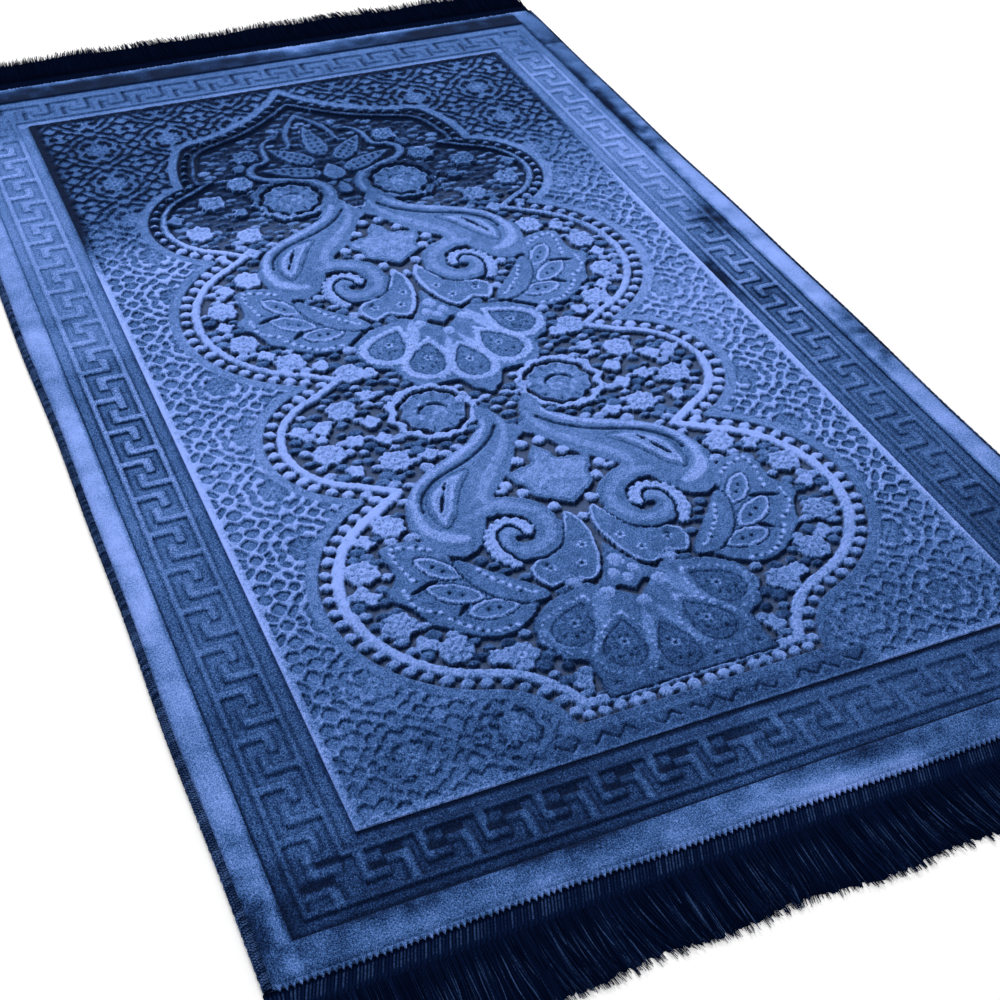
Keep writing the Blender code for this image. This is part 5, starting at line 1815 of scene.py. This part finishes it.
        # Painted highlights: strands chosen at random catch the light, more or less along their length; their
        # roots are painted in the tape's shadow, and the far strands in shade.
        strand_highlights = draw.uniform(0.0, 1.0, count)[:, None] ** 1.7 * (0.42 + 0.14 * np.cos(5 * share + phase))
        strand_highlights = strand_highlights * (0.35 + 0.65 * rise(0.0, 0.35, share)) * STRAND_LIGHT[end]
        tube_strands(f"{name}_strands", paths, radii, 4, yarn, strand_highlights)

    def underlay(self, end, name, half, sizes, yarn, draw):
        """The lower strands, which lie too close to part: one ribbed layer with a ragged end."""
        across = np.arange(-half + 0.6, half - 0.59, 1.3)
        share = np.array([0.0, 0.04, 0.2, 0.4, 0.6, 0.8, 0.93, 1.0])
        x, along = np.meshgrid(across, share[::end])
        reach = sizes.fringe_length / MM * 0.90
        ragged = np.repeat(draw.uniform(-1, 1, len(across) // 2 + 1), 2)[: len(across)]
        reach = reach + 1.6 * ragged + uneven(across)
        y = end * (BODY_LENGTH / 2 + 17.6 + along * reach)
        x = x + 3.2 * np.sin(x / 61.0 + end) * along**1.4 * (1 - rise(half - 30, half, np.abs(x)))
        rib = 0.35 * ((np.arange(len(across)) % 2) * 2 - 1)
        top = 1.1 + rib * np.minimum(1, 8 * along) * (1 - 0.6 * along) - 0.6 * along**3
        light = draw.uniform(0.0, UNDERLAY_LIGHT[end], len(across)) * (rib > 0)
        values = {"strand": np.broadcast_to(light, x.shape)}
        pile_plate(f"{name}_underlay", x, y, top, 0.05, "fringe_yarn", yarn, values)


class RUG_OT_declare(bpy.types.Operator):
    bl_idname = "rug.declare"
    bl_label = "Declare the sheet"

    def execute(self, context):
        # Nothing more is done here: the imported solids carry the frame's own mark.
        return {"FINISHED"}


FLOOR_REACH = 9.0
CAMERA_PLACE = (-0.46489, -1.09592, 0.81053)
# The camera's right, its up, and the way from the rug back to it.
CAMERA_AXES = (
    (0.91337306, -0.40556646, 0.03557393),
    (0.23731243, 0.60136794, 0.76291507),
    (-0.33080579, -0.68838394, 0.64551924),
)


class RUG_OT_stage(bpy.types.Operator):
    """Sets up the plain floor, the soft studio light and the camera"""

    bl_idname = "rug.stage"
    bl_label = "Stage"

    def execute(self, context):
        mesh = bpy.data.meshes.new("plain_floor")
        corners = [(x * FLOOR_REACH, y * FLOOR_REACH, 0) for x, y in ((-1, -1), (1, -1), (1, 1), (-1, 1))]
        mesh.from_pydata(corners, [], [(0, 1, 2, 3)])
        mesh.materials.append(once("plain_floor", floor_finish, context.scene.rug_colours))
        floor = bpy.data.objects.new("plain_floor", mesh)
        context.scene.collection.objects.link(floor)
        floor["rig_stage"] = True
        self.light("far_key", (0.35, 3.0, 1.9), (0.0, 0.1, 0.0), 1.2, 95.0)
        self.light("near_fill", (-1.2, -2.4, 2.6), (0.0, 0.0, 0.0), 2.6, 26.0)
        world = bpy.data.worlds.new("soft_room")
        world.use_nodes = True
        background = world.node_tree.nodes["Background"].inputs
        background["Color"].default_value = (1.0, 1.0, 1.0, 1.0)
        background["Strength"].default_value = 0.66
        context.scene.world = world
        context.scene.view_settings.view_transform = "Standard"
        camera = bpy.data.objects.new("photo_view", bpy.data.cameras.new("photo_view"))
        camera.data.sensor_width = 36.0
        camera.data.lens = 58.57
        turn = Matrix(CAMERA_AXES).transposed().to_4x4()
        turn.translation = CAMERA_PLACE
        camera.matrix_world = turn
        context.scene.collection.objects.link(camera)
        context.scene.camera = camera
        return {"FINISHED"}

    def light(self, name, place, target, size, power):
        """A round soft light that points at its target."""
        lamp = bpy.data.lights.new(name, "AREA")
        lamp.shape = "DISK"
        lamp.size = size
        lamp.energy = power
        lit = bpy.data.objects.new(name, lamp)
        lit.rotation_euler = (Vector(place) - Vector(target)).to_track_quat("Z", "Y").to_euler()
        lit.location = place
        bpy.context.scene.collection.objects.link(lit)


class RUG_PT_panel(bpy.types.Panel):
    """Lists the rug's steps and settings"""

    bl_idname = "RUG_PT_panel"
    bl_label = "Prayer rug"
    bl_space_type = "VIEW_3D"
    bl_region_type = "UI"
    bl_category = "Rug"

    def draw(self, context):
        for group in (context.scene.rug_sizes, context.scene.rug_colours):
            for key in group.__annotations__:
                self.layout.prop(group, key)
        for step in STEPS:
            self.layout.operator(step.bl_idname)


BUILD_STEPS = (RUG_OT_backing, RUG_OT_field, RUG_OT_border, RUG_OT_overcast, RUG_OT_fringes)
STEPS = (*BUILD_STEPS, RUG_OT_stage, RUG_OT_declare)
CLASSES = (RugSizes, RugColours, *STEPS, RUG_PT_panel)


def register():
    """Adds the settings, the steps and the panel."""
    for entry in CLASSES:
        bpy.utils.register_class(entry)
    bpy.types.Scene.rug_sizes = bpy.props.PointerProperty(type=RugSizes)
    bpy.types.Scene.rug_colours = bpy.props.PointerProperty(type=RugColours)


def unregister():
    """Takes away what register has added."""
    del bpy.types.Scene.rug_colours
    del bpy.types.Scene.rug_sizes
    for entry in reversed(CLASSES):
        bpy.utils.unregister_class(entry)


def main():
    """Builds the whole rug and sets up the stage."""
    register()
    bpy.ops.rug.backing()
    bpy.ops.rug.field()
    bpy.ops.rug.border()
    bpy.ops.rug.overcast()
    bpy.ops.rug.fringes()
    bpy.ops.rug.stage()
    bpy.ops.rug.declare()


if __name__ == "__main__":
    main()
